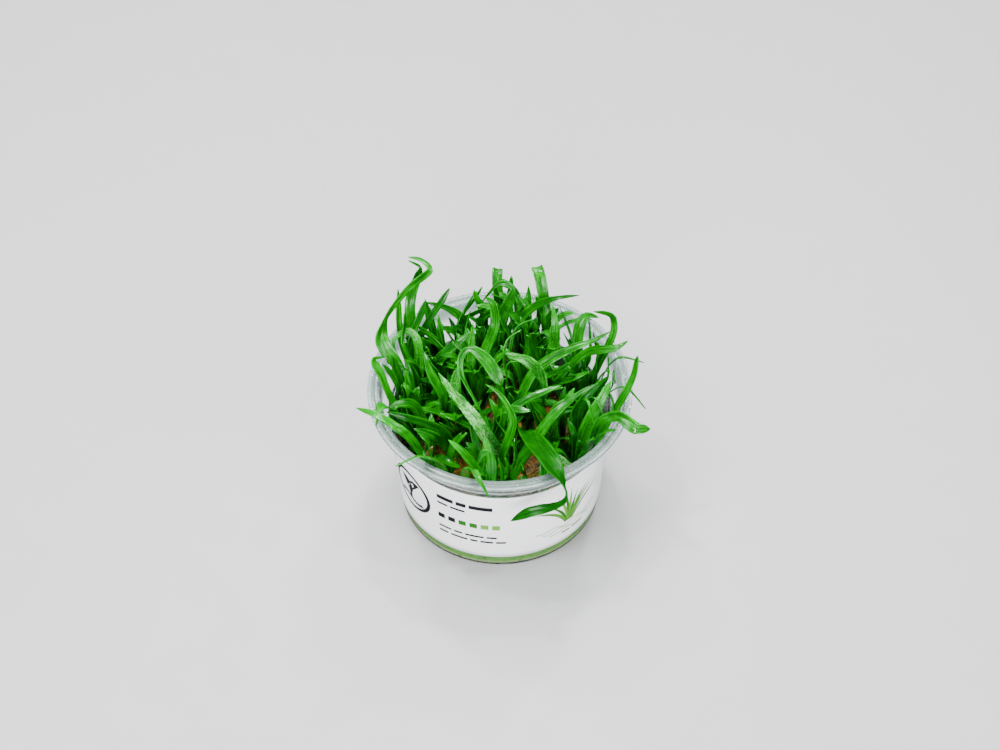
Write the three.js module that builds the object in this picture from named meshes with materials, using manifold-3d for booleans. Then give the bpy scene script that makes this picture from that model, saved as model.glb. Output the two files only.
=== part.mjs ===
// Potted dwarf sagittaria: a thicket of strap-leaved plantlets rooted in nutrient gel,
// grown in a clear cup with a wide flange and a paper label wrapped round it.
// Millimetres, +Z up, origin at the centre of the cup's flat base.

import * as THREE from 'three';
import { mergeVertices } from 'three/addons/utils/BufferGeometryUtils.js';
import Module from 'manifold-3d';

const wasm = await Module();
wasm.setup();

// Cup: a slightly tapered wall, a small outward shoulder and a wide flat flange with a sealing ridge
const FLANGE_RADIUS = 52.5;
const FLANGE_TOP = 62.8;
const FLANGE_THICKNESS = 0.9;
const FLANGE_INNER_RADIUS = 47.9;
const FLANGE_ROUNDING = 0.6;
const SKIRT_DROP = 0.7;
const SKIRT_WIDTH = 0.5;
const RIDGE_RADIUS = 49.4;
const RIDGE_WIDTH = 1;
const RIDGE_HEIGHT = 0.3;
const BASE_RADIUS = 41.2;
const BASE_THICKNESS = 1;
const BASE_ROUNDING = 1.4;
const WALL = 0.9;
const TAPER = 0.062;
const SHOULDER_BOTTOM = 50.2;
const SHOULDER_TOP = 52.8;
const SHOULDER_RADIUS = 47.1;
const SHOULDER_DROP = 0.4;
const ROUND_SEGMENTS = 40;

// Label: paper strip round the tapered wall
const LABEL_BOTTOM = 5.4;
const LABEL_TOP = 47.4;
const LABEL_THICKNESS = 0.25;
const LABEL_GAP = 0.1;

// Filling: clear gel with a mat of roots on it
const GEL_BOTTOM_GAP = 0.3;
const GEL_TOP = 17;
const MAT_BOTTOM = 17.3;
const MAT_TOP = 20.4;
const MAT_EDGE_DROP = 0.8;
const MAT_BUMP = 0.4;
const MAT_BUMP_LENGTH = 22;
const MAT_RINGS = 3;
const MAT_SEGMENTS = 20;
const FILLING_GAP = 0.4;

// Plantlets: a short crown from which the leaves rise
const CROWN_BOTTOM = 20.7;
const CROWN_TOP = 27.5;
const CROWN_RADIUS = 1.8;
const CROWN_SHOULDER = 3;
const CROWN_SEGMENTS = 7;
const LEAF_RING_RADIUS = 3.2;
const LEAF_FOOT = 20.8;
const LEAF_THICKNESS = 0.7;
const FOOT_WIDTH = 2.4;
const YOUNG_FOOT_WIDTH = 1.3;
const YOUNG_FOOT_BOTTOM = 2.8;
const YOUNG_FOOT_TOP = 1;
const YOUNG_FOOT_REACHES = [0.7, 1.9];
const FOOT_RISE = 6.6;
const FOOT_ZONE_TOP = CROWN_TOP + 1.5;
const FOOT_SPACING = THREE.MathUtils.degToRad(56);
const YOUNG_FOOT_ROOM = THREE.MathUtils.degToRad(31);
const YOUNG_FOOT_SPACING = THREE.MathUtils.degToRad(22);
const YOUNG_FOOT_STEP = THREE.MathUtils.degToRad(7);
const FOOT_TRIES = 52;
const STATION_STEP = 12;
const STATION_TURN = THREE.MathUtils.degToRad(36);
const FINE_STATIONS = 160;
const LEAST_PROGRESS = 0.2;

// Room that settling leaves keep round themselves
const CLEARANCE = 0.8;
const SAMPLE_STEP = 1.7;
const SAMPLE_SPREAD = 0.92;
const SAMPLE_WIDTH = 0.9;
const CROSSING_TURN = 0.35;
const SETTLING_ROUNDS = 240;
const STIFF_ROUNDS = SETTLING_ROUNDS * 0.8;
const STIFFNESS = 0.25;
const YIELD = 0.9;
const CELL = 2 * CLEARANCE;
const CELLS_ACROSS = 512;

const UP = new THREE.Vector3(0, 0, 1);

// Colours and surfaces
const clearPlastic = () => new THREE.MeshStandardMaterial({
  color: 0xdfe6e8, roughness: 0.15, metalness: 0, transparent: true, opacity: 0.35,
});
const paper = () => new THREE.MeshStandardMaterial({ color: 0xf2f2f5, roughness: 0.6, metalness: 0 });
const gelGreen = () => new THREE.MeshStandardMaterial({ color: 0xb4d08a, roughness: 0.2, metalness: 0 });
const rootBrown = () => new THREE.MeshStandardMaterial({ color: 0x5a4a22, roughness: 0.9, metalness: 0 });
const leafGreen = (light) => new THREE.MeshStandardMaterial({
  color: new THREE.Color().setHSL(0.32, 0.85, light), roughness: 0.35, metalness: 0,
});
const witheredTan = () => new THREE.MeshStandardMaterial({ color: 0x8a6a30, roughness: 0.8, metalness: 0 });

// A leaf: its width, how freely it gives way when leaves settle (1 is free, 0 is fixed), the points
// that its middle follows above its foot, the ways its upper face looks from foot to tip where that
// isn't simply up and back, and how far along it starts to taper
const leaf = (width, freedom, route, { faces = [], taper = 0.6 } = {}) => ({
  width, freedom, route, faces, taper,
});

// Each plantlet: where its crown stands, its full leaves, and its young leaves, which are still fused
// to the crown
const PLANTLETS = [
  {
    crown: [3, -9],
    leaves: [
      leaf(5.4, 0.3, [[3, -12, 38], [-1, -15, 46], [-9, -12, 59], [-19, -5, 68], [-24, 1, 71]],
        { faces: [[0, -0.6, 0.8]] }),
      leaf(5.6, 0.3, [[-1, -10, 44], [-5, -9, 54], [-11, -4, 64], [-15, 0, 71], [-15, 6, 74], [-12, 8, 76],
        [-7, 5, 75], [-3, 1, 72], [1, -3, 66]],
      { faces: [[1, 0, 0.3], [1, 0, 0.4], [0.7, -0.4, 0.6], [0, -0.7, 0.7], [0, -0.7, 0.7],
        [0.1, -0.7, 0.7]] }),
      leaf(4.6, 0.3, [[5, -3, 40], [7, 1, 50], [14, 8, 62], [27, 12, 70], [36, 13, 74], [44, 16, 77]]),
      leaf(8, 0.1, [[6, -7, 42], [9, -19, 56], [14, -32, 63], [18, -41, 66], [21, -48, 66], [24, -52, 64],
        [25, -53, 59], [23, -53, 55], [18, -52, 51], [12, -52, 49], [4, -52, 43]],
      { faces: [[0, 0.4, 0.9], [0, 0.4, 0.9], [0, 0.5, 0.9], [0, 0.6, 0.8], [1, 0.3, 0.2], [0.3, 0.6, -0.6],
        [0, 0.7, -0.7]], taper: 0.5 }),
    ],
    young: [
      leaf(4.8, 0.8, [[5, -8, 38], [7, -4, 48], [14, 1, 57], [25, 5, 61]]),
      leaf(3.6, 1, [[5, 0, 40], [4, 5, 52], [2, 7, 60]]),
      leaf(4.6, 1, [[-4, -7, 38], [-10, -8, 46], [-16, -9, 54], [-23, -9, 58]]),
    ],
  },
  {
    crown: [-3, -29],
    leaves: [
      leaf(4.8, 0.5, [[-5, -31, 40], [-8, -31, 50], [-14, -29, 59], [-19, -26, 62]]),
      leaf(4.2, 0.5, [[-3, -34, 42], [-3, -35, 54], [-4, -33, 63], [-7, -33, 61], [-9, -34, 54]],
        { faces: [[0, -1, 0.4], [0, -1, 0.4], [0, -0.7, 0.7]] }),
      leaf(3.6, 0.4, [[-12, -35, 44], [-13, -40, 58], [-10, -46, 67], [-8, -52, 69], [-4, -57, 64]]),
      leaf(4.6, 0.4, [[3, -21, 36], [8, -16, 49], [15, -13, 60], [25, -8, 67], [36, -2, 69]]),
      leaf(3.4, 0.6, [[1, -22, 42], [5, -19, 52], [7, -16, 59], [2, -10, 68], [-4, -7, 71]]),
    ],
    young: [
      leaf(4, 1, [[1, -32, 42], [1, -32, 52], [-1, -31, 60]]),
      leaf(4, 1, [[4, -31, 40], [5, -29, 50], [4, -27, 57]]),
      leaf(4.2, 1, [[-6, -23, 34], [-10, -16, 44], [-13, -9, 57]]),
    ],
  },
  {
    crown: [24, -5],
    leaves: [
      leaf(6, 0.4, [[32, -9, 32], [31, -8, 42], [30, -6, 50], [34, -3, 60], [43, 2, 67]],
        { faces: [[0, -1, 0.4], [0, -0.8, 0.6]] }),
    ],
    young: [
      leaf(3.2, 1, [[23, -7, 34], [21, -6, 46], [22, -5, 55], [31, -2, 60]]),
      leaf(3.2, 1, [[22, -7, 33], [19, -7, 42], [14, -4, 55]]),
      leaf(3.4, 1, [[29, -3, 38], [30, 0, 50], [28, 2, 56]]),
    ],
  },
  {
    crown: [31, -20],
    leaves: [
      leaf(4.2, 0.4, [[38, -16, 44], [42, -14, 56], [47, -11, 67], [51, -8, 76], [53, -3, 83]]),
      leaf(5.6, 0.3, [[34, -20, 42], [37, -20, 56], [40, -20, 67], [46, -22, 72], [52, -27, 70],
        [58, -25, 66]], { faces: [[0, -0.8, 0.5], [0, -0.6, 0.8], [0.2, -0.6, 0.8]] }),
      leaf(5.4, 0.5, [[33, -15, 44], [37, -12, 56], [42, -8, 66], [45, -4, 70]],
        { faces: [[0, -0.8, 0.6]] }),
    ],
    young: [
      leaf(3.2, 1, [[33, -25, 40], [37, -26, 56], [42, -28, 66], [46, -28, 67]]),
    ],
  },
  {
    crown: [-25, -20],
    leaves: [
      leaf(4.8, 0.3, [[-30, -22, 42], [-34, -25, 56], [-40, -27, 66], [-48, -23, 70], [-57, -17, 68]],
        { faces: [[0, -0.6, 0.8]] }),
      leaf(4.8, 0.4, [[-20, -13, 42], [-24, -12, 50], [-33, -14, 58], [-45, -16, 66]],
        { faces: [[0, -0.7, 0.7]] }),
      leaf(4.2, 0.3, [[-23, -30, 44], [-24, -35, 56], [-27, -40, 65], [-31, -42, 69], [-40, -44, 66]]),
    ],
    young: [
      leaf(4, 1, [[-24, -17, 42], [-26, -18, 52], [-34, -17, 56]]),
      leaf(3.6, 1, [[-27, -25, 40], [-28, -27, 57]]),
      leaf(4, 1, [[-22, -23, 38], [-23, -26, 54]]),
      leaf(4, 1, [[-20, -20, 38], [-20, -22, 52], [-15, -22, 60]]),
    ],
  },
  {
    crown: [-15, 1],
    leaves: [
      leaf(4.6, 0.6, [[-22, 2, 40], [-22, 3, 54], [-27, 7, 64], [-30, 17, 66]]),
      leaf(5.4, 0.6, [[-17, 5, 40], [-17, 7, 56], [-16, 10, 62]], { faces: [[0, -0.9, 0.4]] }),
      leaf(5, 0.6, [[-18, -2, 38], [-21, -2, 48], [-33, -4, 55]]),
    ],
    young: [
      leaf(3.8, 1, [[-21, 8, 36], [-27, 12, 48], [-34, 9, 55]]),
      leaf(3.6, 1, [[-14, -7, 38], [-19, -12, 54]]),
    ],
  },
  {
    crown: [-35, 3],
    leaves: [
      leaf(4.4, 0.4,
        [[-36, 16, 42], [-34, 22, 55], [-34, 24, 64], [-37, 26, 67], [-41, 22, 66], [-40, 18, 60]],
        { faces: [[0, -1, 0.4], [0, -1, 0.4], [0, -0.7, 0.7], [-0.8, -0.4, 0.5]] }),
      leaf(4.2, 0.4, [[-40, 1, 46], [-44, 0, 58], [-47, 3, 66], [-50, 8, 70], [-46, 9, 70]]),
      leaf(4.2, 0.4, [[-40, -6, 48], [-44, -11, 62], [-47, -17, 69], [-48, -24, 66]]),
      leaf(3.8, 0.5,
        [[-32, -4, 38], [-32, -4, 52], [-36, -5, 60], [-41, -8, 62], [-42, -12, 59], [-40, -15, 54]],
        { faces: [[0, -1, 0.4], [0, -0.7, 0.7], [0, -0.7, 0.7]] }),
    ],
    young: [
      leaf(3.4, 1, [[-40, 6, 46], [-43, 8, 59], [-47, 9, 66]]),
      leaf(4, 1, [[-37, 10, 40], [-38, 14, 56]]),
    ],
  },
  {
    crown: [11, 13],
    leaves: [
      leaf(5, 0.6, [[17, 24, 44], [20, 27, 56], [21, 30, 68], [20, 35, 74]],
        { faces: [[0, -1, 0.5]] }),
      leaf(4.8, 0.2, [[16, 8, 44], [17, 5, 58], [15, 3, 68], [11, 4, 73], [6, 4, 76], [1, 5, 77]],
        { faces: [[-1, -0.2, 0], [-1, -0.3, 0.3], [-0.5, -0.6, 0.6], [0, -0.7, 0.7], [0, -0.7, 0.7]],
          taper: 0.7 }),
      leaf(4.8, 0.5, [[19, 15, 40], [26, 16, 52], [35, 17, 64], [46, 14, 70], [51, 17, 71]]),
    ],
    young: [
      leaf(1.2, 1, [[5, 15, 42], [2, 16, 58], [3, 20, 68], [9, 24, 70]]),
      leaf(4.2, 1, [[20, 10, 42], [27, 7, 56], [37, 8, 63]]),
    ],
  },
  {
    crown: [33, 13],
    leaves: [
      leaf(4.6, 0.5, [[33, 22, 44], [33, 27, 57], [35, 31, 68], [38, 33, 71], [42, 33, 69]],
        { faces: [[0, -1, 0.4], [0, -1, 0.6], [0, -0.7, 0.7]] }),
      leaf(4.2, 0.5, [[38, 16, 44], [41, 18, 58], [45, 23, 69], [44, 27, 75], [38, 30, 74]]),
    ],
    young: [
      leaf(1.3, 1, [[37, 20, 46], [38, 24, 60], [37, 31, 72]]),
      leaf(1.2, 1, [[39, 11, 46], [43, 11, 62], [48, 9, 70], [57, 7, 69]]),
      leaf(1.2, 1, [[39, 4, 46], [43, -2, 62], [49, -6, 69], [57, -12, 63]]),
    ],
  },
  {
    crown: [-29, 22],
    leaves: [
      leaf(5.8, 0.2, [[-39, 18, 44], [-42, 17, 57], [-47, 21, 67], [-46, 26, 73], [-41, 31, 80],
        [-36, 34, 85], [-31, 36, 88], [-28, 37, 91], [-31, 40, 93], [-37, 41, 94]],
      { faces: [[0, -0.7, 0.7], [0, -0.7, 0.7], [0, -0.7, 0.7], [0.8, -0.4, -0.1], [0.9, -0.4, -0.2],
        [0.6, -0.6, 0.4], [0, -0.7, 0.7]], taper: 0.7 }),
      leaf(4.6, 0.3, [[-36, 23, 48], [-37, 27, 62], [-37, 36, 73], [-34, 39, 83], [-32, 40, 89],
        [-37, 43, 90]], { faces: [[0, -1, 0.4]], taper: 0.4 }),
      leaf(4.4, 0.6, [[-28, 20, 40], [-25, 21, 54], [-16, 23, 64], [-10, 25, 67]],
        { faces: [[0, -0.7, 0.7]] }),
    ],
    young: [
      leaf(4.2, 1, [[-36, 20, 48], [-40, 24, 62], [-41, 34, 73], [-41, 38, 79]]),
      leaf(4, 1, [[-27, 27, 44], [-28, 31, 58], [-31, 36, 73]]),
      leaf(3.8, 1, [[-24, 25, 42], [-25, 28, 56], [-36, 31, 67]]),
    ],
  },
  {
    crown: [-9, 20],
    leaves: [
      leaf(4.2, 0.4, [[-12, 19, 40], [-12, 21, 54], [-11, 26, 73]], { faces: [[0.4, -1, 0.3]] }),
      leaf(4.2, 0.4, [[-8, 23, 42], [-7, 23, 54], [-2, 27, 69], [-3, 33, 76], [-6, 36, 76]]),
    ],
    young: [
      leaf(4.2, 1, [[-5, 18, 38], [-2, 17, 50], [0, 19, 56]]),
    ],
  },
  {
    crown: [14, 34],
    leaves: [
      leaf(4.6, 0.4, [[19, 37, 48], [19, 39, 58], [18, 43, 66], [16, 49, 76], [15, 52, 77], [15, 55, 70]],
        { faces: [[0, -1, 0.4], [0, -1, 0.4], [0, -1, 0.5], [0, -0.6, 0.8], [0, 0.8, 0.6]], taper: 0.8 }),
      leaf(3.6, 0.5, [[8, 38, 46], [9, 42, 58], [15, 42, 66], [22, 41, 71], [33, 41, 73]]),
    ],
    young: [
      leaf(4, 1, [[10, 38, 42], [7, 43, 58], [5, 48, 68], [0, 51, 72]]),
      leaf(4, 1, [[13, 39, 44], [12, 44, 60], [12, 51, 68]]),
      leaf(3.6, 1, [[18, 32, 42], [21, 32, 56], [28, 33, 64], [37, 31, 68]]),
    ],
  },
  {
    crown: [-8, 36],
    leaves: [
      leaf(4.6, 0.4, [[-4, 33, 42], [-2, 34, 55], [2, 37, 69], [5, 40, 77], [0, 41, 79], [-8, 37, 71]],
        { faces: [[0.3, -1, 0.4]], taper: 0.35 }),
      leaf(4.2, 0.4, [[-1, 38, 46], [0, 42, 59], [-1, 49, 68], [-1, 54, 74], [0, 58, 66]],
        { faces: [[0, -1, 0.4], [0, -1, 0.4], [0, -1, 0.5], [0, -0.6, 0.8], [0, 0.8, 0.6]], taper: 0.8 }),
      leaf(3.8, 0.5, [[-12, 37, 46], [-14, 39, 58], [-21, 39, 66], [-31, 39, 70]],
        { faces: [[0, -0.7, 0.7]] }),
    ],
    young: [
      leaf(3, 1, [[-2, 40, 44], [2, 43, 57], [4, 50, 68], [4, 51, 73]]),
      leaf(4, 1, [[-13, 38, 44], [-17, 40, 57], [-10, 46, 66], [-7, 48, 70]]),
      leaf(4, 1, [[-16, 34, 42], [-20, 35, 55], [-26, 37, 64]]),
    ],
  },
  {
    crown: [17, -33],
    leaves: [
      leaf(5.2, 0.6, [[25, -30, 36], [26, -29, 43], [21, -26, 52], [16, -23, 57]],
        { faces: [[0, -0.7, 0.7]] }),
    ],
    young: [
      leaf(4, 1, [[11, -32, 38], [8, -33, 51], [9, -38, 56]]),
    ],
  },
];

// Withered leaves, which lie on the root mat or lean against the rest
const WITHERED_LEAVES = [
  leaf(2.4, 0, [[-33, -12, 21.6], [-32, -18, 34], [-31, -21, 44], [-28, -19, 50]]),
  leaf(4, 0, [[5, -21, 21.6], [11, -22, 23], [18, -24, 22.6], [24, -25, 21.6]]),
  leaf(3, 0, [[14, 4, 21.8], [19, 3, 23.4], [25, 5, 22.8], [28, 10, 21.6]]),
];

// Lower leaves that fill each plantlet out, fused to its crown: how many, how high, how far they reach,
// and how much taller they are at the back, where the thicket is taller
const LOW_LEAVES = 4;
const LOW_LEAF_WIDTHS = [4.6, 4, 5, 4.2];
const LOW_LEAF_TOPS = [50, 58, 45, 54];
const LOW_LEAF_REACHES = [9, 7, 12, 10];
const LOW_LEAF_LIMIT = 40;
const BACK_LIFT = 9;
const GOLDEN_ANGLE = Math.PI * (3 - Math.sqrt(5));

// A surface turned round the upright axis from its profile of [radius, height] pairs
function turned(profile, segments) {
  const points = profile.map(([radius, height]) => new THREE.Vector2(radius, height));
  const geometry = new THREE.LatheGeometry(points, segments);
  geometry.rotateX(Math.PI / 2);
  return welded(geometry);
}

// The same surface with its shared vertices joined
function welded(geometry) {
  geometry.deleteAttribute('normal');
  geometry.deleteAttribute('uv');
  return mergeVertices(geometry, 1e-4);
}

const wallRadius = (height) => BASE_RADIUS + TAPER * height;
const fillingRadius = (height) => wallRadius(height) - WALL - FILLING_GAP;

function cupProfile() {
  const inner = (height) => wallRadius(height) - WALL;
  const flangeBottom = FLANGE_TOP - FLANGE_THICKNESS;
  const corner = BASE_ROUNDING * (1 - Math.SQRT1_2);
  return [
    [0, 0],
    [BASE_RADIUS - BASE_ROUNDING, 0],
    [BASE_RADIUS - corner, corner],
    [wallRadius(BASE_ROUNDING), BASE_ROUNDING],
    [wallRadius(SHOULDER_BOTTOM), SHOULDER_BOTTOM],
    [SHOULDER_RADIUS, SHOULDER_TOP],
    [FLANGE_INNER_RADIUS + FLANGE_ROUNDING, flangeBottom],
    [FLANGE_RADIUS - SKIRT_WIDTH, flangeBottom],
    [FLANGE_RADIUS - SKIRT_WIDTH, flangeBottom - SKIRT_DROP],
    [FLANGE_RADIUS, flangeBottom - SKIRT_DROP],
    [FLANGE_RADIUS, FLANGE_TOP],
    [RIDGE_RADIUS + RIDGE_WIDTH / 2, FLANGE_TOP],
    [RIDGE_RADIUS, FLANGE_TOP + RIDGE_HEIGHT],
    [RIDGE_RADIUS - RIDGE_WIDTH / 2, FLANGE_TOP],
    [FLANGE_INNER_RADIUS, FLANGE_TOP],
    [FLANGE_INNER_RADIUS - FLANGE_ROUNDING, FLANGE_TOP - FLANGE_THICKNESS],
    [SHOULDER_RADIUS - WALL, SHOULDER_TOP],
    [inner(SHOULDER_BOTTOM), SHOULDER_BOTTOM + SHOULDER_DROP],
    [inner(BASE_THICKNESS + BASE_ROUNDING), BASE_THICKNESS + BASE_ROUNDING],
    [inner(0) - BASE_ROUNDING, BASE_THICKNESS],
    [0, BASE_THICKNESS],
  ];
}

function labelProfile() {
  const back = (height) => [wallRadius(height) + LABEL_GAP, height];
  const front = (height) => [wallRadius(height) + LABEL_GAP + LABEL_THICKNESS, height];
  return [back(LABEL_BOTTOM), front(LABEL_BOTTOM), front(LABEL_TOP), back(LABEL_TOP), back(LABEL_BOTTOM)];
}

function gelProfile() {
  const bottom = BASE_THICKNESS + GEL_BOTTOM_GAP;
  return [
    [0, bottom],
    [fillingRadius(0) - BASE_ROUNDING, bottom],
    [fillingRadius(bottom + BASE_ROUNDING), bottom + BASE_ROUNDING],
    [fillingRadius(GEL_TOP), GEL_TOP],
    [0, GEL_TOP],
  ];
}

// Root mat: a thin disc whose top is uneven
function rootMat() {
  const edge = fillingRadius(MAT_BOTTOM);
  const profile = [[0, MAT_BOTTOM], [edge, MAT_BOTTOM], [edge, MAT_TOP - MAT_EDGE_DROP]];
  for (let ring = MAT_RINGS; ring >= 0; ring -= 1) {
    profile.push([(edge * ring) / (MAT_RINGS + 1), MAT_TOP]);
  }
  const geometry = turned(profile, MAT_SEGMENTS);
  const position = geometry.attributes.position;
  for (let i = 0; i < position.count; i += 1) {
    const x = (2 * Math.PI * position.getX(i)) / MAT_BUMP_LENGTH;
    const y = (2 * Math.PI * position.getY(i)) / MAT_BUMP_LENGTH;
    if (position.getZ(i) > MAT_TOP - MAT_BUMP) {
      position.setZ(i, MAT_TOP - MAT_BUMP * (1 - Math.sin(x + 1) * Math.cos(y)));
    }
  }
  return geometry;
}

// Half the width of a strap leaf from its foot (0) to its tip (1)
function halfWidth({ width, taper }, footWidth, along) {
  const foot = Math.min(1, footWidth / width);
  const rise = THREE.MathUtils.smoothstep(along, 0.1, 0.4);
  const point = along > taper ? 1 - ((along - taper) / (1 - taper)) ** 1.7 : 1;
  return (width / 2) * (foot + (1 - foot) * rise) * point;
}

// Points along a curve, closer together where it bends
function stationsOf(curve) {
  const fine = curve.getSpacedPoints(FINE_STATIONS);
  const measures = [0];
  for (let i = 1; i < fine.length; i += 1) {
    const step = fine[i].distanceTo(fine[i - 1]);
    const bend = i < 2 ? 0 : angleBetween(fine[i - 2], fine[i - 1], fine[i]);
    measures.push(measures[i - 1] + step / STATION_STEP + bend / STATION_TURN);
  }
  const total = measures[measures.length - 1];
  const count = Math.max(4, Math.round(total));
  const stations = [];
  let i = 0;
  for (let n = 0; n <= count; n += 1) {
    const wanted = (total * n) / count;
    while (i < fine.length - 1 && measures[i] < wanted) {
      i += 1;
    }
    stations.push(fine[n === count ? fine.length - 1 : i].clone());
  }
  return stations;
}

function angleBetween(first, second, third) {
  const before = new THREE.Vector3().subVectors(second, first);
  const after = new THREE.Vector3().subVectors(third, second);
  return before.angleTo(after);
}

// A leaf's stations, each with its sideways direction: square to the heading at the foot, and further
// up square to the way that the upper face looks
function layLeaf(shape, foot, footWidth, heading) {
  const points = shape.route.map((point) => new THREE.Vector3(...point));
  const centres = stationsOf(new THREE.CatmullRomCurve3([...foot, ...points], false, 'centripetal'));
  const last = centres.length - 1;
  const lean = centres.reduce((sum, centre) => sum.add(centre), new THREE.Vector3());
  lean.divideScalar(last + 1).sub(centres[0]).setZ(0).normalize();
  const footSide = new THREE.Vector3().crossVectors(UP, heading).normalize();
  const sides = [];
  let carried = new THREE.Vector3().crossVectors(UP, lean).normalize();
  centres.forEach((centre, i) => {
    const along = i / last;
    const tangent = tangentAt(centres, i);
    carried = carried.clone().addScaledVector(tangent, -carried.dot(tangent)).normalize();
    const hasFaces = shape.faces.length > 0;
    const across = hasFaces ? faceAlong(shape.faces, along).cross(tangent).normalize() : carried;
    const start = footSide.dot(across) < 0 ? footSide.clone().negate() : footSide;
    const turn = THREE.MathUtils.smoothstep(along, 0.05, 0.4);
    const side = new THREE.Vector3().lerpVectors(start, across, turn);
    sides.push(side.addScaledVector(tangent, -side.dot(tangent)).normalize());
  });
  return {
    freedom: shape.freedom,
    centres,
    sides,
    rest: centres.map((centre) => centre.clone()),
    halves: centres.map((centre, i) => halfWidth(shape, footWidth, i / last)),
  };
}

// The way the upper face looks at a place along the blade
function faceAlong(faces, along) {
  const place = along * (faces.length - 1);
  const before = Math.min(Math.floor(place), faces.length - 1);
  const after = Math.min(before + 1, faces.length - 1);
  return new THREE.Vector3(...faces[before]).lerp(new THREE.Vector3(...faces[after]), place - before);
}

function tangentAt(centres, i) {
  const before = centres[Math.max(i - 1, 0)];
  const after = centres[Math.min(i + 1, centres.length - 1)];
  return new THREE.Vector3().subVectors(after, before).normalize();
}

// Bearings spread until none is closer to the next than the feet of two leaves need
function spreadBearings(bearings) {
  const spread = [...bearings];
  for (let round = 0; round < 80 && spread.length > 1; round += 1) {
    spread.forEach((angle, i) => {
      const next = (i + 1) % spread.length;
      const gap = THREE.MathUtils.euclideanModulo(spread[next] - spread[i], 2 * Math.PI);
      const lack = Math.max(0, FOOT_SPACING - gap) / 2;
      spread[i] -= lack;
      spread[next] += lack;
    });
  }
  return spread;
}

// The bearing nearest the wanted one that has room between full leaves' feet, if possible clear of
// other young leaves' feet too
function freeBearing(wanted, fullFeet, youngFeet) {
  const isClear = (angle, feet, room) => feet.every((other) => Math.cos(angle - other) < Math.cos(room));
  const tries = Array.from({ length: FOOT_TRIES }, (unused, step) => {
    const turn = Math.ceil(step / 2) * YOUNG_FOOT_STEP;
    return step % 2 === 0 ? wanted + turn : wanted - turn;
  });
  const open = tries.filter((angle) => isClear(angle, fullFeet, YOUNG_FOOT_ROOM));
  return open.find((angle) => isClear(angle, youngFeet, YOUNG_FOOT_SPACING)) ?? open[0];
}

// Lower leaves at golden-angle bearings round the crown, kept inside the cup
function lowLeaves([x, y], index) {
  return Array.from({ length: LOW_LEAVES }, (unused, k) => {
    const turn = (index * LOW_LEAVES + k) * GOLDEN_ANGLE;
    const size = (index + k) % LOW_LEAVES;
    const top = LOW_LEAF_TOPS[size] + BACK_LIFT * THREE.MathUtils.smoothstep(y, -10, 30);
    const point = (share, height) => {
      const reach = LOW_LEAF_REACHES[size] * share;
      const spot = new THREE.Vector2(x + reach * Math.cos(turn), y + reach * Math.sin(turn));
      return [...spot.clampLength(0, LOW_LEAF_LIMIT), height];
    };
    return leaf(LOW_LEAF_WIDTHS[size], 1, [point(0.35, 38), point(0.7, top - 5), point(1.25, top)]);
  });
}

// Full leaves stand on a ring round the crown; young and low leaves rise from the crown itself
function leavesOf(plantlet, index) {
  const [x, y] = plantlet.crown;
  const spotAt = (heading, reach, height) => (
    new THREE.Vector3(x, y, height).addScaledVector(heading, reach)
  );
  const bearing = ({ route: [first] }) => Math.atan2(first[1] - y, first[0] - x);
  const headingAt = (angle) => new THREE.Vector3(Math.cos(angle), Math.sin(angle), 0);
  const full = [...plantlet.leaves].sort((a, b) => bearing(a) - bearing(b));
  const bearings = spreadBearings(full.map(bearing));
  const ringed = full.map((shape, i) => {
    const heading = headingAt(bearings[i]);
    const foot = [0, FOOT_RISE].map((rise) => spotAt(heading, LEAF_RING_RADIUS, LEAF_FOOT + rise));
    const laid = layLeaf(shape, foot, FOOT_WIDTH, heading);
    return { ...laid, name: `plantlet_${index + 1}_leaf_${i + 1}`, plantlet: index, fused: false };
  });
  const youngFeet = [];
  const inner = [...plantlet.young, ...lowLeaves(plantlet.crown, index)].map((shape) => {
    const angle = freeBearing(bearing(shape), bearings, youngFeet);
    youngFeet.push(angle);
    const heading = headingAt(angle);
    const heights = [CROWN_BOTTOM + YOUNG_FOOT_BOTTOM, CROWN_TOP + YOUNG_FOOT_TOP];
    const foot = YOUNG_FOOT_REACHES.map((reach, i) => spotAt(heading, reach, heights[i]));
    return { ...layLeaf(shape, foot, YOUNG_FOOT_WIDTH, heading), plantlet: index, fused: true };
  });
  return [...ringed, ...inner];
}

// Points over a blade at which it is kept clear of its neighbours
function samplesOf(blade) {
  const samples = [];
  for (let i = 0; i < blade.centres.length - 1; i += 1) {
    const tangent = new THREE.Vector3().subVectors(blade.centres[i + 1], blade.centres[i]);
    const steps = Math.max(2, Math.ceil(tangent.length() / SAMPLE_STEP));
    tangent.normalize();
    for (let n = 0; n < steps; n += 1) {
      const along = (n + 0.5) / steps;
      const centre = new THREE.Vector3().lerpVectors(blade.centres[i], blade.centres[i + 1], along);
      const side = new THREE.Vector3().lerpVectors(blade.sides[i], blade.sides[i + 1], along);
      const half = THREE.MathUtils.lerp(blade.halves[i], blade.halves[i + 1], along);
      const across = Math.max(1, Math.ceil(half / SAMPLE_WIDTH));
      for (let k = -across; k <= across; k += 1) {
        const point = centre.clone().addScaledVector(side, (half * SAMPLE_SPREAD * k) / across);
        samples.push({ blade, station: i, along, centre, tangent, point });
      }
    }
  }
  return samples;
}

// Pushes at one sample are shared by the stations before and after it
function pushSample(sample, direction, distance) {
  const { blade, station, along } = sample;
  blade.pushes[station].addScaledVector(direction, distance * (1 - along));
  blade.pushes[station + 1].addScaledVector(direction, distance * along);
  blade.weights[station] += 1 - along;
  blade.weights[station + 1] += along;
}

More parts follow.
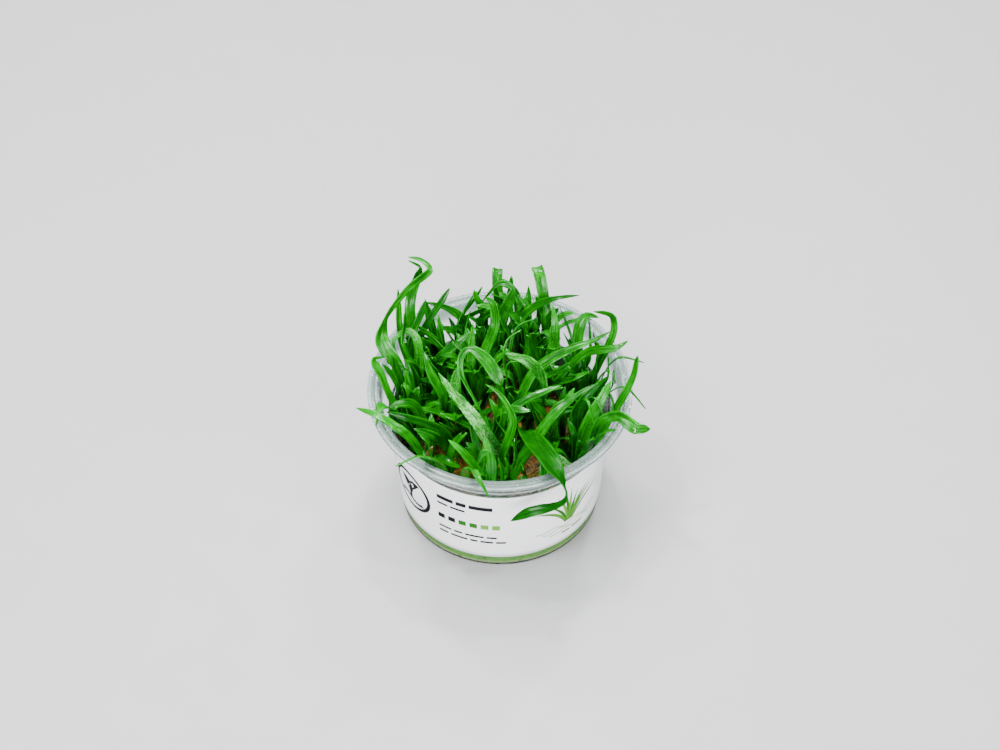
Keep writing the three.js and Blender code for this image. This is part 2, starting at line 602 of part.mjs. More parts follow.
// Two blades that cross part along the direction square to both; blades that run side by side part
// along the line between them
function partSamples(a, b) {
  const between = new THREE.Vector3().subVectors(a.point, b.point);
  const distance = between.length();
  if (distance >= 2 * CLEARANCE) {
    return;
  }
  const direction = new THREE.Vector3().crossVectors(a.tangent, b.tangent);
  if (direction.length() > CROSSING_TURN) {
    direction.normalize();
    const sideways = new THREE.Vector3().subVectors(a.centre, b.centre).dot(direction);
    direction.multiplyScalar(sideways < 0 ? -1 : 1);
  } else {
    direction.copy(between).normalize();
  }
  const along = between.dot(direction);
  const push = Math.sqrt(Math.max(0, 4 * CLEARANCE ** 2 - distance ** 2 + along ** 2)) - along;
  const total = a.blade.freedom + b.blade.freedom;
  if (total > 0) {
    pushSample(a, direction, push * (a.blade.freedom / total));
    pushSample(b, direction, -push * (b.blade.freedom / total));
  }
}

// The middle of the cup's wall and flange as [radius, height], for leaves to stay clear of
const WALL_LINE = [
  [wallRadius(0) - WALL / 2, 0],
  [wallRadius(SHOULDER_BOTTOM) - WALL / 2, SHOULDER_BOTTOM],
  [SHOULDER_RADIUS - WALL / 2, SHOULDER_TOP],
  [FLANGE_INNER_RADIUS, FLANGE_TOP - FLANGE_THICKNESS / 2],
  [FLANGE_RADIUS - SKIRT_WIDTH / 2, FLANGE_TOP - FLANGE_THICKNESS / 2],
  [FLANGE_RADIUS - SKIRT_WIDTH / 2, FLANGE_TOP - FLANGE_THICKNESS],
];
const WALL_CLEARANCE = CLEARANCE + WALL / 2 + 0.3;

function keepOffCup(sample) {
  const { point } = sample;
  const radius = Math.hypot(point.x, point.y);
  const here = new THREE.Vector2(radius, point.z);
  const nearest = new THREE.Vector2();
  let gap = Infinity;
  for (let i = 0; i < WALL_LINE.length - 1; i += 1) {
    const start = new THREE.Vector2(...WALL_LINE[i]);
    const run = new THREE.Vector2(...WALL_LINE[i + 1]).sub(start);
    const along = THREE.MathUtils.clamp(here.clone().sub(start).dot(run) / run.lengthSq(), 0, 1);
    const spot = start.addScaledVector(run, along);
    if (spot.distanceTo(here) < gap) {
      gap = spot.distanceTo(here);
      nearest.copy(spot);
    }
  }
  if (gap < WALL_CLEARANCE) {
    const away = here.sub(nearest).normalize();
    const direction = new THREE.Vector3((point.x / radius) * away.x, (point.y / radius) * away.x, away.y);
    pushSample(sample, direction, WALL_CLEARANCE - gap);
  }
}

// Below this height the feet of a plantlet's leaves stand as they grew
const isFoot = (point) => point.z < FOOT_ZONE_TOP;

function keepOffCrowns(sample) {
  const { point, blade } = sample;
  if (!isFoot(point)) {
    return;
  }
  PLANTLETS.forEach((plantlet, index) => {
    const away = new THREE.Vector3(point.x - plantlet.crown[0], point.y - plantlet.crown[1], 0);
    const wanted = CROWN_RADIUS + CLEARANCE;
    if (away.length() < wanted && blade.plantlet !== index) {
      const distance = wanted - away.length();
      pushSample(sample, away.normalize(), distance);
    }
  });
}

// Feet of one plantlet's leaves stand close together, so they don't part
const areSameFoot = (a, b) => a.blade.plantlet === b.blade.plantlet && isFoot(a.point) && isFoot(b.point);

// Cells of an even grid, by which samples find their neighbours
const cellOf = (point) => point.toArray().map((value) => Math.floor(value / CELL) + CELLS_ACROSS / 4);
const cellKey = (i, j, k) => (i * CELLS_ACROSS + j) * CELLS_ACROSS + k;

function neighbourKeys([i, j, k]) {
  const keys = [];
  for (let n = 0; n < 27; n += 1) {
    keys.push(cellKey(i - 1 + (n % 3), j - 1 + (Math.floor(n / 3) % 3), k - 1 + Math.floor(n / 9)));
  }
  return keys;
}

// Every sample parts from those before it that lie in its own cell or the cells round it
function partNeighbours(samples) {
  const cells = new Map();
  samples.forEach((sample) => {
    const home = cellOf(sample.point);
    neighbourKeys(home).forEach((spot) => {
      (cells.get(spot) ?? []).forEach((other) => {
        if (other.blade !== sample.blade && !areSameFoot(sample, other)) {
          partSamples(sample, other);
        }
      });
    });
    const spot = cellKey(...home);
    if (cells.has(spot)) {
      cells.get(spot).push(sample);
    } else {
      cells.set(spot, [sample]);
    }
  });
}

// Leaves give way to each other, to the cup and to the crowns, and otherwise keep their shape
function settle(blades) {
  const free = blades.filter((blade) => blade.freedom > 0);
  for (let round = 0; round < SETTLING_ROUNDS; round += 1) {
    blades.forEach((blade) => {
      blade.pushes = blade.centres.map(() => new THREE.Vector3());
      blade.weights = blade.centres.map(() => 0);
    });
    partNeighbours(blades.flatMap(samplesOf));
    free.flatMap(samplesOf).forEach((sample) => {
      keepOffCup(sample);
      keepOffCrowns(sample);
    });
    const stiffness = STIFFNESS * Math.max(0, 1 - round / STIFF_ROUNDS);
    free.forEach((blade) => moveBlade(blade, stiffness));
  }
}

// A round's pushes move the stations, and the moves are spread along the blade; its foot stays
function moveBlade(blade, stiffness) {
  const shifts = blade.centres.map((centre, i) => {
    const shift = new THREE.Vector3().subVectors(centre, blade.rest[i]);
    if (blade.weights[i] > 0) {
      shift.addScaledVector(blade.pushes[i], YIELD / blade.weights[i]);
    }
    return shift;
  });
  const last = shifts.length - 1;
  blade.centres.forEach((centre, i) => {
    if (i === 0 || isFoot(blade.rest[i])) {
      return;
    }
    const before = shifts[i - 1];
    const after = shifts[Math.min(i + 1, last)];
    const even = before.clone().add(after).multiplyScalar(0.5);
    centre.copy(blade.rest[i]).add(shifts[i].clone().lerp(even, stiffness));
  });
  blade.centres.forEach((centre, i) => {
    const tangent = tangentAt(blade.centres, i);
    blade.sides[i].addScaledVector(tangent, -blade.sides[i].dot(tangent)).normalize();
  });
}

// Splits each twisted four-sided face along its outer diagonal, so that no face cuts through a thin blade
function foldOutwards(geometry) {
  const { index: { array: corners }, attributes: { position } } = geometry;
  const at = (corner) => new THREE.Vector3().fromBufferAttribute(position, corner);
  for (let i = 0; i + 5 < corners.length; i += 3) {
    const [a, b, d, b2, c, d2] = corners.slice(i, i + 6);
    if (b !== b2 || d !== d2) continue;
    const face = new THREE.Plane().setFromCoplanarPoints(at(a), at(b), at(d));
    if (face.distanceToPoint(at(c)) > 0) corners.set([a, b, c, a, c, d], i);
    i += 3;
  }
}

// Half the width that a station can have before the blade's inner edge doubles back at its bends
function bendLimit(centres, sides, i) {
  const gaps = [i - 1, i].filter((first) => first >= 0 && first + 1 < centres.length);
  return Math.min(...gaps.map((first) => {
    const step = centres[first + 1].clone().sub(centres[first]);
    const drift = sides[first + 1].clone().sub(sides[first]).dot(step.clone().normalize());
    return ((1 - LEAST_PROGRESS) * step.length()) / Math.max(Math.abs(drift), 1e-6);
  }));
}

// A blade with a flat upper face and a low keel below, drawn to a point at its tip
function bladeGeometry({ centres, sides, halves }) {
  const count = centres.length - 1;
  const geometry = welded(new THREE.ConeGeometry(1, 1, 3, count));
  const position = geometry.attributes.position;
  for (let i = 0; i < position.count; i += 1) {
    const station = Math.round((position.getY(i) + 0.5) * count);
    const reach = Math.hypot(position.getX(i), position.getZ(i));
    const scale = reach > 1e-6 ? 1 / reach : 0;
    const half = Math.min(halves[station], bendLimit(centres, sides, station));
    const sideways = (position.getX(i) * scale * half) / Math.sin(Math.PI / 3);
    const thickness = LEAF_THICKNESS * Math.min(1, half / FOOT_WIDTH + 0.3);
    const below = position.getZ(i) * scale * thickness * (2 / 3);
    const under = new THREE.Vector3().crossVectors(sides[station], tangentAt(centres, station));
    const point = centres[station].clone().addScaledVector(sides[station], sideways);
    point.addScaledVector(under, below);
    position.setXYZ(i, ...point.toArray());
  }
  foldOutwards(geometry);
  return geometry;
}

function solidOf(geometry) {
  return new wasm.Manifold(new wasm.Mesh({
    numProp: 3,
    vertProperties: new Float32Array(geometry.attributes.position.array),
    triVerts: new Uint32Array(geometry.index.array),
  }));
}

function geometryOf(solid) {
  const mesh = solid.getMesh();
  const geometry = new THREE.BufferGeometry();
  geometry.setAttribute('position', new THREE.BufferAttribute(mesh.vertProperties, 3));
  geometry.setIndex(new THREE.BufferAttribute(mesh.triVerts, 1));
  return geometry;
}

// A crown with the young leaves that are still fused to it
function heartGeometry([x, y], young) {
  const crown = turned([
    [0, CROWN_BOTTOM],
    [CROWN_RADIUS * 0.9, CROWN_BOTTOM],
    [CROWN_RADIUS, CROWN_BOTTOM + CROWN_SHOULDER],
    [0, CROWN_TOP],
  ], CROWN_SEGMENTS);
  crown.translate(x, y, 0);
  const joined = young.reduce((solid, blade) => solid.add(solidOf(bladeGeometry(blade))), solidOf(crown));
  return geometryOf(joined);
}

const plant = new THREE.Group();

function addPiece(name, geometry, material) {
  geometry.computeVertexNormals();
  const mesh = new THREE.Mesh(geometry, material);
  mesh.name = name;
  plant.add(mesh);
}

addPiece('cup', turned(cupProfile(), ROUND_SEGMENTS), clearPlastic());
addPiece('label', turned(labelProfile(), ROUND_SEGMENTS), paper());
addPiece('nutrient_gel', turned(gelProfile(), ROUND_SEGMENTS), gelGreen());
addPiece('root_mat', rootMat(), rootBrown());

const grown = PLANTLETS.flatMap(leavesOf);
const withered = WITHERED_LEAVES.map((shape, i) => {
  const [first, second] = shape.route.map((point) => new THREE.Vector3(...point));
  const heading = second.sub(first).setZ(0).normalize();
  return { ...layLeaf(shape, [], shape.width, heading), name: `withered_leaf_${i + 1}`, plantlet: -1 };
});
settle([...grown, ...withered]);

PLANTLETS.forEach(({ crown }, index) => {
  const own = grown.filter((blade) => blade.plantlet === index);
  const young = own.filter((blade) => blade.fused);
  const full = own.filter((blade) => !blade.fused);
  addPiece(`plantlet_${index + 1}_heart`, heartGeometry(crown, young), leafGreen(0.28));
  full.forEach((blade) => addPiece(blade.name, bladeGeometry(blade), leafGreen(0.32)));
});
withered.forEach((blade) => addPiece(blade.name, bladeGeometry(blade), witheredTan()));

export default plant;
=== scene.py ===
"""Potted dwarf sagittaria: a wet thicket of strap leaves grown in a clear, flanged culture cup.

Metres, +Z up, origin at the centre of the cup's flat base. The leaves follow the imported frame's own
blades, so every leaf grows where its solid stands.
"""

import logging
import math
import random
from dataclasses import dataclass, field, replace
from enum import Enum

import bmesh
import bpy
from bmesh.types import BMEdge, BMesh, BMVert
from bpy.types import ID, Material, Node, NodeSocket, Object
from mathutils import Matrix, Vector, noise


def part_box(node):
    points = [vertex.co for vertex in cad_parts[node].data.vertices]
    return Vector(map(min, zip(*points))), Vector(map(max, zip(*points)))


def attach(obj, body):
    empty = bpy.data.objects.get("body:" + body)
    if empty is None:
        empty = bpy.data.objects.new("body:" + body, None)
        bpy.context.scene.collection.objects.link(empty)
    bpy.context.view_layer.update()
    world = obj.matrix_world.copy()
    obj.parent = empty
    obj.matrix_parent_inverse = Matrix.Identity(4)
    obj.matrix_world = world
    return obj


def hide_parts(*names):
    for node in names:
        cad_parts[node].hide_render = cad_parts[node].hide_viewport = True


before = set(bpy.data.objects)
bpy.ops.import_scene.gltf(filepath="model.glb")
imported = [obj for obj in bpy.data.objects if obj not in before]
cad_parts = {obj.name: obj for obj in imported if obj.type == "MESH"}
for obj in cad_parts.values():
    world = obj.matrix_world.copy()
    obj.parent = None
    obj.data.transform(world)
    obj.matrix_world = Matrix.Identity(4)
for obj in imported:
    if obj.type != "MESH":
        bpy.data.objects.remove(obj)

LOG = logging.getLogger("sagittaria")
MM = 0.001
TINY = 1e-6
UP = Vector((0.0, 0.0, 1.0))
BODY = "root"
Triple = tuple[float, float, float]
Colour = Triple


class Slot(Enum):
    """The record's material slots."""

    CUP = "cup"
    LABEL = "label"
    GEL = "nutrient_gel"
    MAT = "root_mat"
    LEAF = "leaf"
    HEART = "young_leaves"
    WITHERED = "withered_leaf"


class Ink(Enum):
    """The label's printing inks, in the order of the print's materials."""

    DARK = 0
    GREEN = 1
    PALE = 2


def added(name: str, data: ID) -> Object:
    """Makes an object and puts it in the scene.

    Args:
        name: Its name.
        data: Its mesh, curve, light or camera.

    Returns:
        The object.
    """
    made = bpy.data.objects.new(name, data)
    bpy.context.scene.collection.objects.link(made)
    return made


def meshed(work: BMesh, name: str, finish: Material) -> Object:
    """Turns a bmesh into an object.

    Args:
        work: The finished bmesh, which is freed.
        name: The object's name.
        finish: Its material.

    Returns:
        The object, smooth shaded.
    """
    mesh = bpy.data.meshes.new(name)
    work.to_mesh(mesh)
    work.free()
    mesh.materials.append(finish)
    mesh.polygons.foreach_set("use_smooth", [True] * len(mesh.polygons))
    return added(name, mesh)


def place(work: BMesh, name: str, finish: Material, slot: Slot) -> Object:
    """Turns a bmesh into a piece that rides on the body, and reports it.

    Args:
        work: The finished bmesh, which is freed.
        name: The piece's name.
        finish: Its material.
        slot: The record's slot for the piece; not used.

    Returns:
        The piece.
    """
    piece = meshed(work, name, finish)
    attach(piece, BODY)
    LOG.info("%s: %d faces", piece.name, len(piece.data.polygons))
    return piece


def thicken(piece: Object, thickness: float) -> None:
    """Gives an open skin a wall, half of it on each side.

    Args:
        piece: The piece.
        thickness: The wall's thickness in metres.
    """
    wall = piece.modifiers.new("thickness", "SOLIDIFY")
    wall.thickness = thickness
    wall.offset = 0.0


@dataclass
class Finish:
    """A node material while it is put together, with short calls for the nodes it needs."""

    name: str
    noise_range: tuple[float, float] = (0.3, 0.7)
    material: Material = field(init=False)
    surface: Node = field(init=False)

    def __post_init__(self) -> None:
        """Starts the material with one Principled shader."""
        self.material = bpy.data.materials.new(self.name)
        self.material.use_nodes = True
        self.surface = self.material.node_tree.nodes["Principled BSDF"]

    def node(self, kind: str, **settings: object) -> Node:
        """Adds a node of a kind and gives it its settings.

        Args:
            kind: The node's type name.
            **settings: Its properties.

        Returns:
            The node.
        """
        made = self.material.node_tree.nodes.new(kind)
        for key, value in settings.items():
            setattr(made, key, value)
        return made

    def feed(self, socket: NodeSocket, value: object) -> None:
        """Sets an input to a plain value, or links another node's output to it.

        Args:
            socket: The input.
            value: A number, a colour or an output socket.
        """
        if isinstance(value, NodeSocket):
            self.material.node_tree.links.new(value, socket)
        elif isinstance(value, tuple) and len(value) == 3 and socket.type == "RGBA":
            socket.default_value = (*value, 1.0)
        else:
            socket.default_value = value

    def set(self, **values: object) -> None:
        """Feeds the Principled shader, with underscores for the spaces in its inputs' names.

        Args:
            **values: An input's name and what it gets.
        """
        for key, value in values.items():
            self.feed(self.surface.inputs[key.replace("_", " ")], value)

    def math(self, operation: str, *values: object, clamp: bool = False) -> NodeSocket:
        """One Math node.

        Args:
            operation: What it does, such as MULTIPLY.
            *values: Its inputs.
            clamp: Whether the result stays between 0 and 1.

        Returns:
            Its output.
        """
        made = self.node("ShaderNodeMath", operation=operation, use_clamp=clamp)
        for socket, value in zip(made.inputs, values):
            self.feed(socket, value)
        return made.outputs[0]

    def times(self, first: object, second: object, clamp: bool = False) -> NodeSocket:
        """The product of two values."""
        return self.math("MULTIPLY", first, second, clamp=clamp)

    def plus(self, first: object, second: object) -> NodeSocket:
        """The sum of two values."""
        return self.math("ADD", first, second)

    def spread(self, value: object, low: float, high: float, start: float = 0.0,
               end: float = 1.0) -> NodeSocket:
        """Maps a range smoothly onto another.

        Args:
            value: What is mapped.
            low: Where the range starts.
            high: Where it ends.
            start: The result at low.
            end: The result at high.

        Returns:
            The mapped value.
        """
        made = self.node("ShaderNodeMapRange", interpolation_type="SMOOTHSTEP")
        for index, given in enumerate((value, low, high, start, end)):
            self.feed(made.inputs[index], given)
        return made.outputs[0]

    def vary(self, grain: object, start: float, end: float) -> NodeSocket:
        """Maps the range that a grain mostly keeps to onto another."""
        return self.spread(grain, *self.noise_range, start, end)

    def mix(self, share: object, first: object, second: object) -> NodeSocket:
        """Mixes two colours.

        Args:
            share: How much of the second.
            first: The first colour.
            second: The second colour.

        Returns:
            The mixed colour.
        """
        made = self.node("ShaderNodeMix", data_type="RGBA")
        self.feed(made.inputs[0], share)
        self.feed(made.inputs[6], first)
        self.feed(made.inputs[7], second)
        return made.outputs[2]

    def object_place(self) -> NodeSocket:
        """The place on the piece, in metres."""
        return self.node("ShaderNodeTexCoord").outputs["Object"]

    def axes(self) -> list[NodeSocket]:
        """The place on the piece along each axis.

        Returns:
            The outputs for X, Y and Z.
        """
        made = self.node("ShaderNodeSeparateXYZ")
        self.feed(made.inputs[0], self.object_place())
        return list(made.outputs)

    def read(self, attribute: str) -> NodeSocket:
        """A number that the mesh carries in an attribute."""
        return self.node("ShaderNodeAttribute", attribute_name=attribute).outputs["Fac"]

    def grain(self, size: float, detail: float = 3.0, vector: object = None) -> NodeSocket:
        """Noise whose features are about a size in metres.

        Args:
            size: The features' size.
            detail: How many finer layers it has.
            vector: Where it is read, or None for the place on the piece.

        Returns:
            A value around 0.5.
        """
        made = self.node("ShaderNodeTexNoise")
        self.feed(made.inputs["Vector"], self.object_place() if vector is None else vector)
        self.feed(made.inputs["Scale"], 1.0 / size)
        self.feed(made.inputs["Detail"], detail)
        return made.outputs["Fac"]

    def bump(self, height: object, distance: float, strength: float = 1.0, layer: str = "Normal") -> None:
        """Feeds one of the shader's normals from a height.

        Args:
            height: The height from 0 to 1.
            distance: What 1 means, in metres.
            strength: How much it shows.
            layer: The shader's input, for its body or its coat.
        """
        made = self.node("ShaderNodeBump")
        self.feed(made.inputs["Strength"], strength)
        self.feed(made.inputs["Distance"], distance)
        self.feed(made.inputs["Height"], height)
        self.feed(self.surface.inputs[layer], made.outputs[0])


@dataclass(frozen=True)
class LeafFinish:
    """Wet strap leaf: parallel veins, a painted highlight on its edges, streaks that are partly real
    striations and partly painted highlights, patches of painted sheen, speckled, and a pale foot.
    """

    name: str = "wet_leaf"
    deep: Colour = (0.0, 0.038, 0.0)
    full: Colour = (0.0, 0.090, 0.0)
    bright: Colour = (0.0, 0.215, 0.0)
    foot: Colour = (0.018, 0.220, 0.0)
    painted_sheen: Colour = (0.050, 0.480, 0.032)
    painted_white_sheen: Colour = (0.200, 0.520, 0.160)
    veins: float = 9.0
    streak: tuple[float, float] = (0.5 * MM, 9 * MM)
    cell: tuple[float, float] = (0.34 * MM, 1.1 * MM)
    patch: float = 7 * MM
    bead: float = 0.45 * MM
    foot_height: tuple[float, float] = (3 * MM, 15 * MM)
    relief_depth: float = 0.05 * MM
    coat_depth: float = 0.02 * MM

    def make(self) -> Material:
        """Builds the material.

        Returns:
            The leaf material, which reads the blades' own attributes.
        """
        made = Finish(self.name)
        across, along, tone, painted_sheen_share = (made.read(key) for key in ("across", "along", "tone", "painted_sheen_share"))
        reach, span = made.read("reach"), made.read("span")
        streaks = made.grain(1.0, 3.0, self.stretched(made, span, reach, tone, self.streak))
        cells = made.grain(1.0, 1.0, self.stretched(made, span, reach, tone, self.cell))
        patches = made.grain(self.patch, 2.0)

        wave = made.math("COSINE", made.times(across, self.veins * math.pi))
        vein = made.spread(wave, 0.55, 1.0)
        middle = made.spread(made.math("ABSOLUTE", across), 0.16, 0.0)
        edge = made.spread(made.math("ABSOLUTE", across), 0.8, 1.0)

        shade = made.plus(tone, made.vary(patches, -0.25, 0.25))
        # Streaks lighten and darken the green along the blade: partly its real striations, partly painted
        # streaky highlights.
        shade = made.plus(shade, made.vary(streaks, -0.45, 0.45))
        green = made.mix(made.spread(shade, -0.1, 0.5), self.deep, self.full)
        green = made.mix(made.spread(shade, 0.45, 1.15), green, self.bright)
        green = made.mix(made.times(vein, 0.25), green, self.bright)
        # Painted highlight: the green turns paler towards the blade's edges, where light catches them.
        green = made.mix(made.times(edge, 0.35), green, self.bright)
        green = made.mix(made.times(middle, 0.3), green, self.deep)
        foot_low, foot_high = self.foot_height
        foot = made.spread(made.plus(reach, made.times(streaks, 4 * MM)), foot_high, foot_low)
        green = made.mix(made.times(foot, 0.8), green, self.foot)
        # Painted sheen: a pale green to whitish sheen, speckled and broken into patches, is mixed into the
        # green in place of reflections, as much as the leaf's sheen share asks.
        painted_sheen_speckle = made.times(made.spread(cells, 0.48, 0.58), made.spread(streaks, 0.3, 0.5))
        painted_sheen = made.times(painted_sheen_share, made.spread(painted_sheen_speckle, 0.0, 1.0, 0.12, 1.3), clamp=True)
        painted_sheen = made.times(painted_sheen, made.spread(along, 0.1, 0.4))
        painted_sheen = made.times(painted_sheen, made.spread(patches, 0.35, 0.6, 0.35, 1.0))
        green = made.mix(painted_sheen, green, made.mix(made.spread(painted_sheen_share, 0.25, 0.9), self.painted_sheen, self.painted_white_sheen))

        relief = made.plus(made.times(vein, 0.5), made.times(cells, 0.3))
        relief = made.math("SUBTRACT", relief, made.times(middle, 1.2))
        beads = made.spread(made.grain(self.bead, 1.0), 0.55, 0.7)
        wet = made.times(beads, made.spread(patches, 0.45, 0.6, 0.1, 1.0))
        coat = made.spread(patches, 0.40, 0.56, 0.10, 1.0)
        coat = made.times(coat, made.spread(streaks, 0.38, 0.58, 0.30, 1.0))
        coat = made.times(coat, made.spread(tone, -0.05, 0.2, 0.15, 1.0))
        made.bump(relief, self.relief_depth, 0.8)
        made.bump(made.plus(wet, made.times(streaks, 2.0)), self.coat_depth, 1.0, "Coat Normal")
        made.set(
            Base_Color=green,
            Roughness=made.vary(streaks, 0.5, 0.7),
            IOR=1.3,
            Subsurface_Weight=0.12,
            Subsurface_Scale=1.0 * MM,
            Subsurface_Radius=(0.2, 1.0, 0.05),
            Specular_IOR_Level=0.1,
            Coat_Weight=coat,
            Coat_Roughness=0.09,
            Coat_IOR=1.45,
        )
        return made.material

    @staticmethod
    def stretched(made: Finish, span: NodeSocket, reach: NodeSocket, tone: NodeSocket,
                  size: tuple[float, float]) -> NodeSocket:
        """A place on the blade's own surface, for grain that runs along it.

        Args:
            made: The material.
            span: How far across, in metres.
            reach: How far along, in metres.
            tone: The blade's tone, which sets its grain apart from the next one's.
            size: The grain's size across and along.

        Returns:
            The place as a vector.
        """
        vector = made.node("ShaderNodeCombineXYZ")
        far_apart = 37.0
        scales = (1 / size[0], 1 / size[1], far_apart)
        for socket, value, scale in zip(vector.inputs, (span, reach, tone), scales):
            made.feed(socket, made.times(value, scale))
        return vector.outputs[0]


@dataclass(frozen=True)
class WitheredFinish:
    """Dead leaf: tan and brown, darker along its veins."""

    name: str = "withered_leaf"
    tan: Colour = (0.420, 0.270, 0.085)
    brown: Colour = (0.110, 0.050, 0.015)
    green: Colour = (0.130, 0.170, 0.030)
    veins: float = 7.0

    def make(self) -> Material:
        """Builds the material.

        Returns:
            The dead leaves' material, which reads two of the blades' attributes.
        """
        made = Finish(self.name)
        across, tone = made.read("across"), made.read("tone")
        blotches = made.grain(2.2 * MM, 4.0)
        colour = made.mix(made.spread(blotches, 0.42, 0.66), self.tan, self.brown)
        colour = made.mix(made.times(tone, 0.5), colour, self.green)
        wave = made.math("COSINE", made.times(across, self.veins * math.pi))
        colour = made.mix(made.times(made.spread(wave, 0.4, 1.0), 0.35), colour, self.brown)
        made.bump(made.plus(wave, made.grain(0.4 * MM)), 0.08 * MM)
        made.set(Base_Color=colour, Roughness=made.vary(blotches, 0.45, 0.75))
        return made.material


@dataclass(frozen=True)
class ClearPlasticFinish:
    """Thin polypropylene: clear with a slight milkiness and a soft gloss."""

    name: str = "clear_polypropylene"
    tint: Colour = (0.860, 0.930, 0.925)
    # On the flange, the grey-green milk is partly the plastic's milkiness and partly painted shade with the
    # green of leaves seen through it; the shade colour is a band of painted shade and the edge colour is a
    # painted highlight on the outer ring.
    milk_and_painted_shade: Colour = (0.400, 0.530, 0.480)
    shade: Colour = (0.260, 0.370, 0.320)
    edge: Colour = (0.520, 0.620, 0.610)
    milky: tuple[float, float] = (54 * MM, 60 * MM)
    band: tuple[float, float] = (49.5 * MM, 51.1 * MM)
    band_blur: float = 0.3 * MM
    ring_step: float = 0.9 * MM

    def make(self) -> Material:
        """Builds the material.

        Returns:
            The cup's material: clear low down, milky and finely ringed on the flange, with painted shade in a
            band across the flange and a painted highlight on its outer ring.
        """
        made = Finish(self.name)
        x, y, z = made.axes()
        radius = made.math("SQRT", made.plus(made.math("POWER", x, 2.0), made.math("POWER", y, 2.0)))
        rings = made.math("SINE", made.times(radius, math.tau / self.ring_step))
        flange = made.spread(z, *self.milky)
        haze = made.vary(made.grain(5 * MM, 3.0), 0.02, 0.06)
        satin = made.plus(made.spread(rings, -1.0, 1.0, 0.10, 0.17), haze)
        blur = self.band_blur
        # Painted shade in a band across the flange, and a painted highlight on its outer ring.
        inner, outer = (made.spread(radius, edge - blur, edge + blur) for edge in self.band)
        milk_and_painted_shade = made.mix(outer, made.mix(inner, self.milk_and_painted_shade, self.shade), self.edge)
        made.bump(rings, 0.006 * MM, 0.5)
        made.set(
            Base_Color=made.mix(flange, self.tint, milk_and_painted_shade),
            Roughness=made.plus(haze, made.times(flange, satin)),
            Transmission_Weight=made.spread(flange, 0.0, 1.0, 0.98, 0.80),
            IOR=1.49,
        )
        return made.material


@dataclass(frozen=True)
class PaperFinish:
    """White label paper, faintly fibrous."""

    name: str = "label_paper"
    paper: Colour = (0.930, 0.935, 0.955)
    shaded: Colour = (0.895, 0.902, 0.925)

    def make(self) -> Material:
        """Builds the material.

        Returns:
            The label's material.
        """
        made = Finish(self.name)
        fibres = made.grain(0.35 * MM, 4.0)
        colour = made.mix(made.vary(made.grain(14 * MM), 0.0, 1.0), self.paper, self.shaded)
        made.bump(fibres, 0.015 * MM, 0.5)
        made.set(Base_Color=colour, Roughness=made.vary(fibres, 0.38, 0.52), Coat_Weight=0.08)
        return made.material


@dataclass(frozen=True)
class InkFinish:
    """Printing ink, a little thin where the paper's fibres stand up."""

    name: str
    hue: Colour
    lighter: float = 0.02

    def make(self) -> Material:
        """Builds the material.

        Returns:
            The ink's material.
        """
        made = Finish(self.name)
        fibres = made.grain(0.35 * MM, 4.0)
        thin = tuple(value + self.lighter for value in self.hue)
        made.set(Base_Color=made.mix(made.spread(fibres, 0.5, 0.75), self.hue, thin),
                 Roughness=made.vary(fibres, 0.5, 0.65), Specular_IOR_Level=0.15)
        return made.material


@dataclass(frozen=True)
class GelFinish:
    """Cloudy green nutrient gel, creamy at its foot and flecked with darker green."""

    name: str = "nutrient_gel"
    green: Colour = (0.150, 0.470, 0.040)
    cream: Colour = (0.480, 0.640, 0.200)
    dark: Colour = (0.040, 0.170, 0.012)
    cream_height: tuple[float, float] = (2.6 * MM, 4.2 * MM)

    def make(self) -> Material:
        """Builds the material.

        Returns:
            The gel's material, creamy at its foot.
        """
        made = Finish(self.name)
        _, _, height = made.axes()
        cloud = made.grain(6 * MM, 4.0)
        low, high = self.cream_height
        creamy = made.spread(made.plus(height, made.times(cloud, 2 * MM)), high, low)
        colour = made.mix(creamy, self.green, self.cream)
        colour = made.mix(made.spread(made.grain(1.4 * MM, 3.0), 0.56, 0.7, 0.0, 0.7), colour, self.dark)
        made.set(
            Base_Color=colour,
            Roughness=made.vary(cloud, 0.15, 0.35),
            Subsurface_Weight=0.5,
            Subsurface_Scale=3 * MM,
            Subsurface_Radius=(0.6, 1.0, 0.4),
        )
        return made.material


@dataclass(frozen=True)
class RootFinish:
    """Wet matted roots: brown, with ochre strands and green algae between them."""

    name: str
    brown: Colour
    ochre: Colour
    algae: Colour = (0.050, 0.170, 0.008)

    def make(self) -> Material:
        """Builds the material.

        Returns:
            The roots' material.
        """
        made = Finish(self.name)
        mottle = made.grain(1.3 * MM, 4.0)
        colour = made.mix(made.spread(mottle, 0.4, 0.62), self.brown, self.ochre)
        colour = made.mix(made.spread(made.grain(6 * MM), 0.5, 0.68, 0.0, 0.8), colour, self.algae)
        made.bump(mottle, 0.3 * MM)
        made.set(Base_Color=colour, Roughness=made.vary(mottle, 0.3, 0.6), Coat_Weight=0.2)
        return made.material


@dataclass(frozen=True)
class FloorFinish:
    """Plain pale studio floor."""

    name: str = "studio_floor"
    pale: Colour = (0.380, 0.380, 0.385)

    def make(self) -> Material:
        """Builds the material.

        Returns:
            The floor's material.
        """
        made = Finish(self.name)
        made.set(Base_Color=self.pale, Roughness=made.vary(made.grain(20 * MM), 0.5, 0.6))
        return made.material


@dataclass
class Station:
    """One place along a blade: its middle, the way across, the way its upper face looks and its width."""

    centre: Vector
    side: Vector
    up: Vector
    half: float


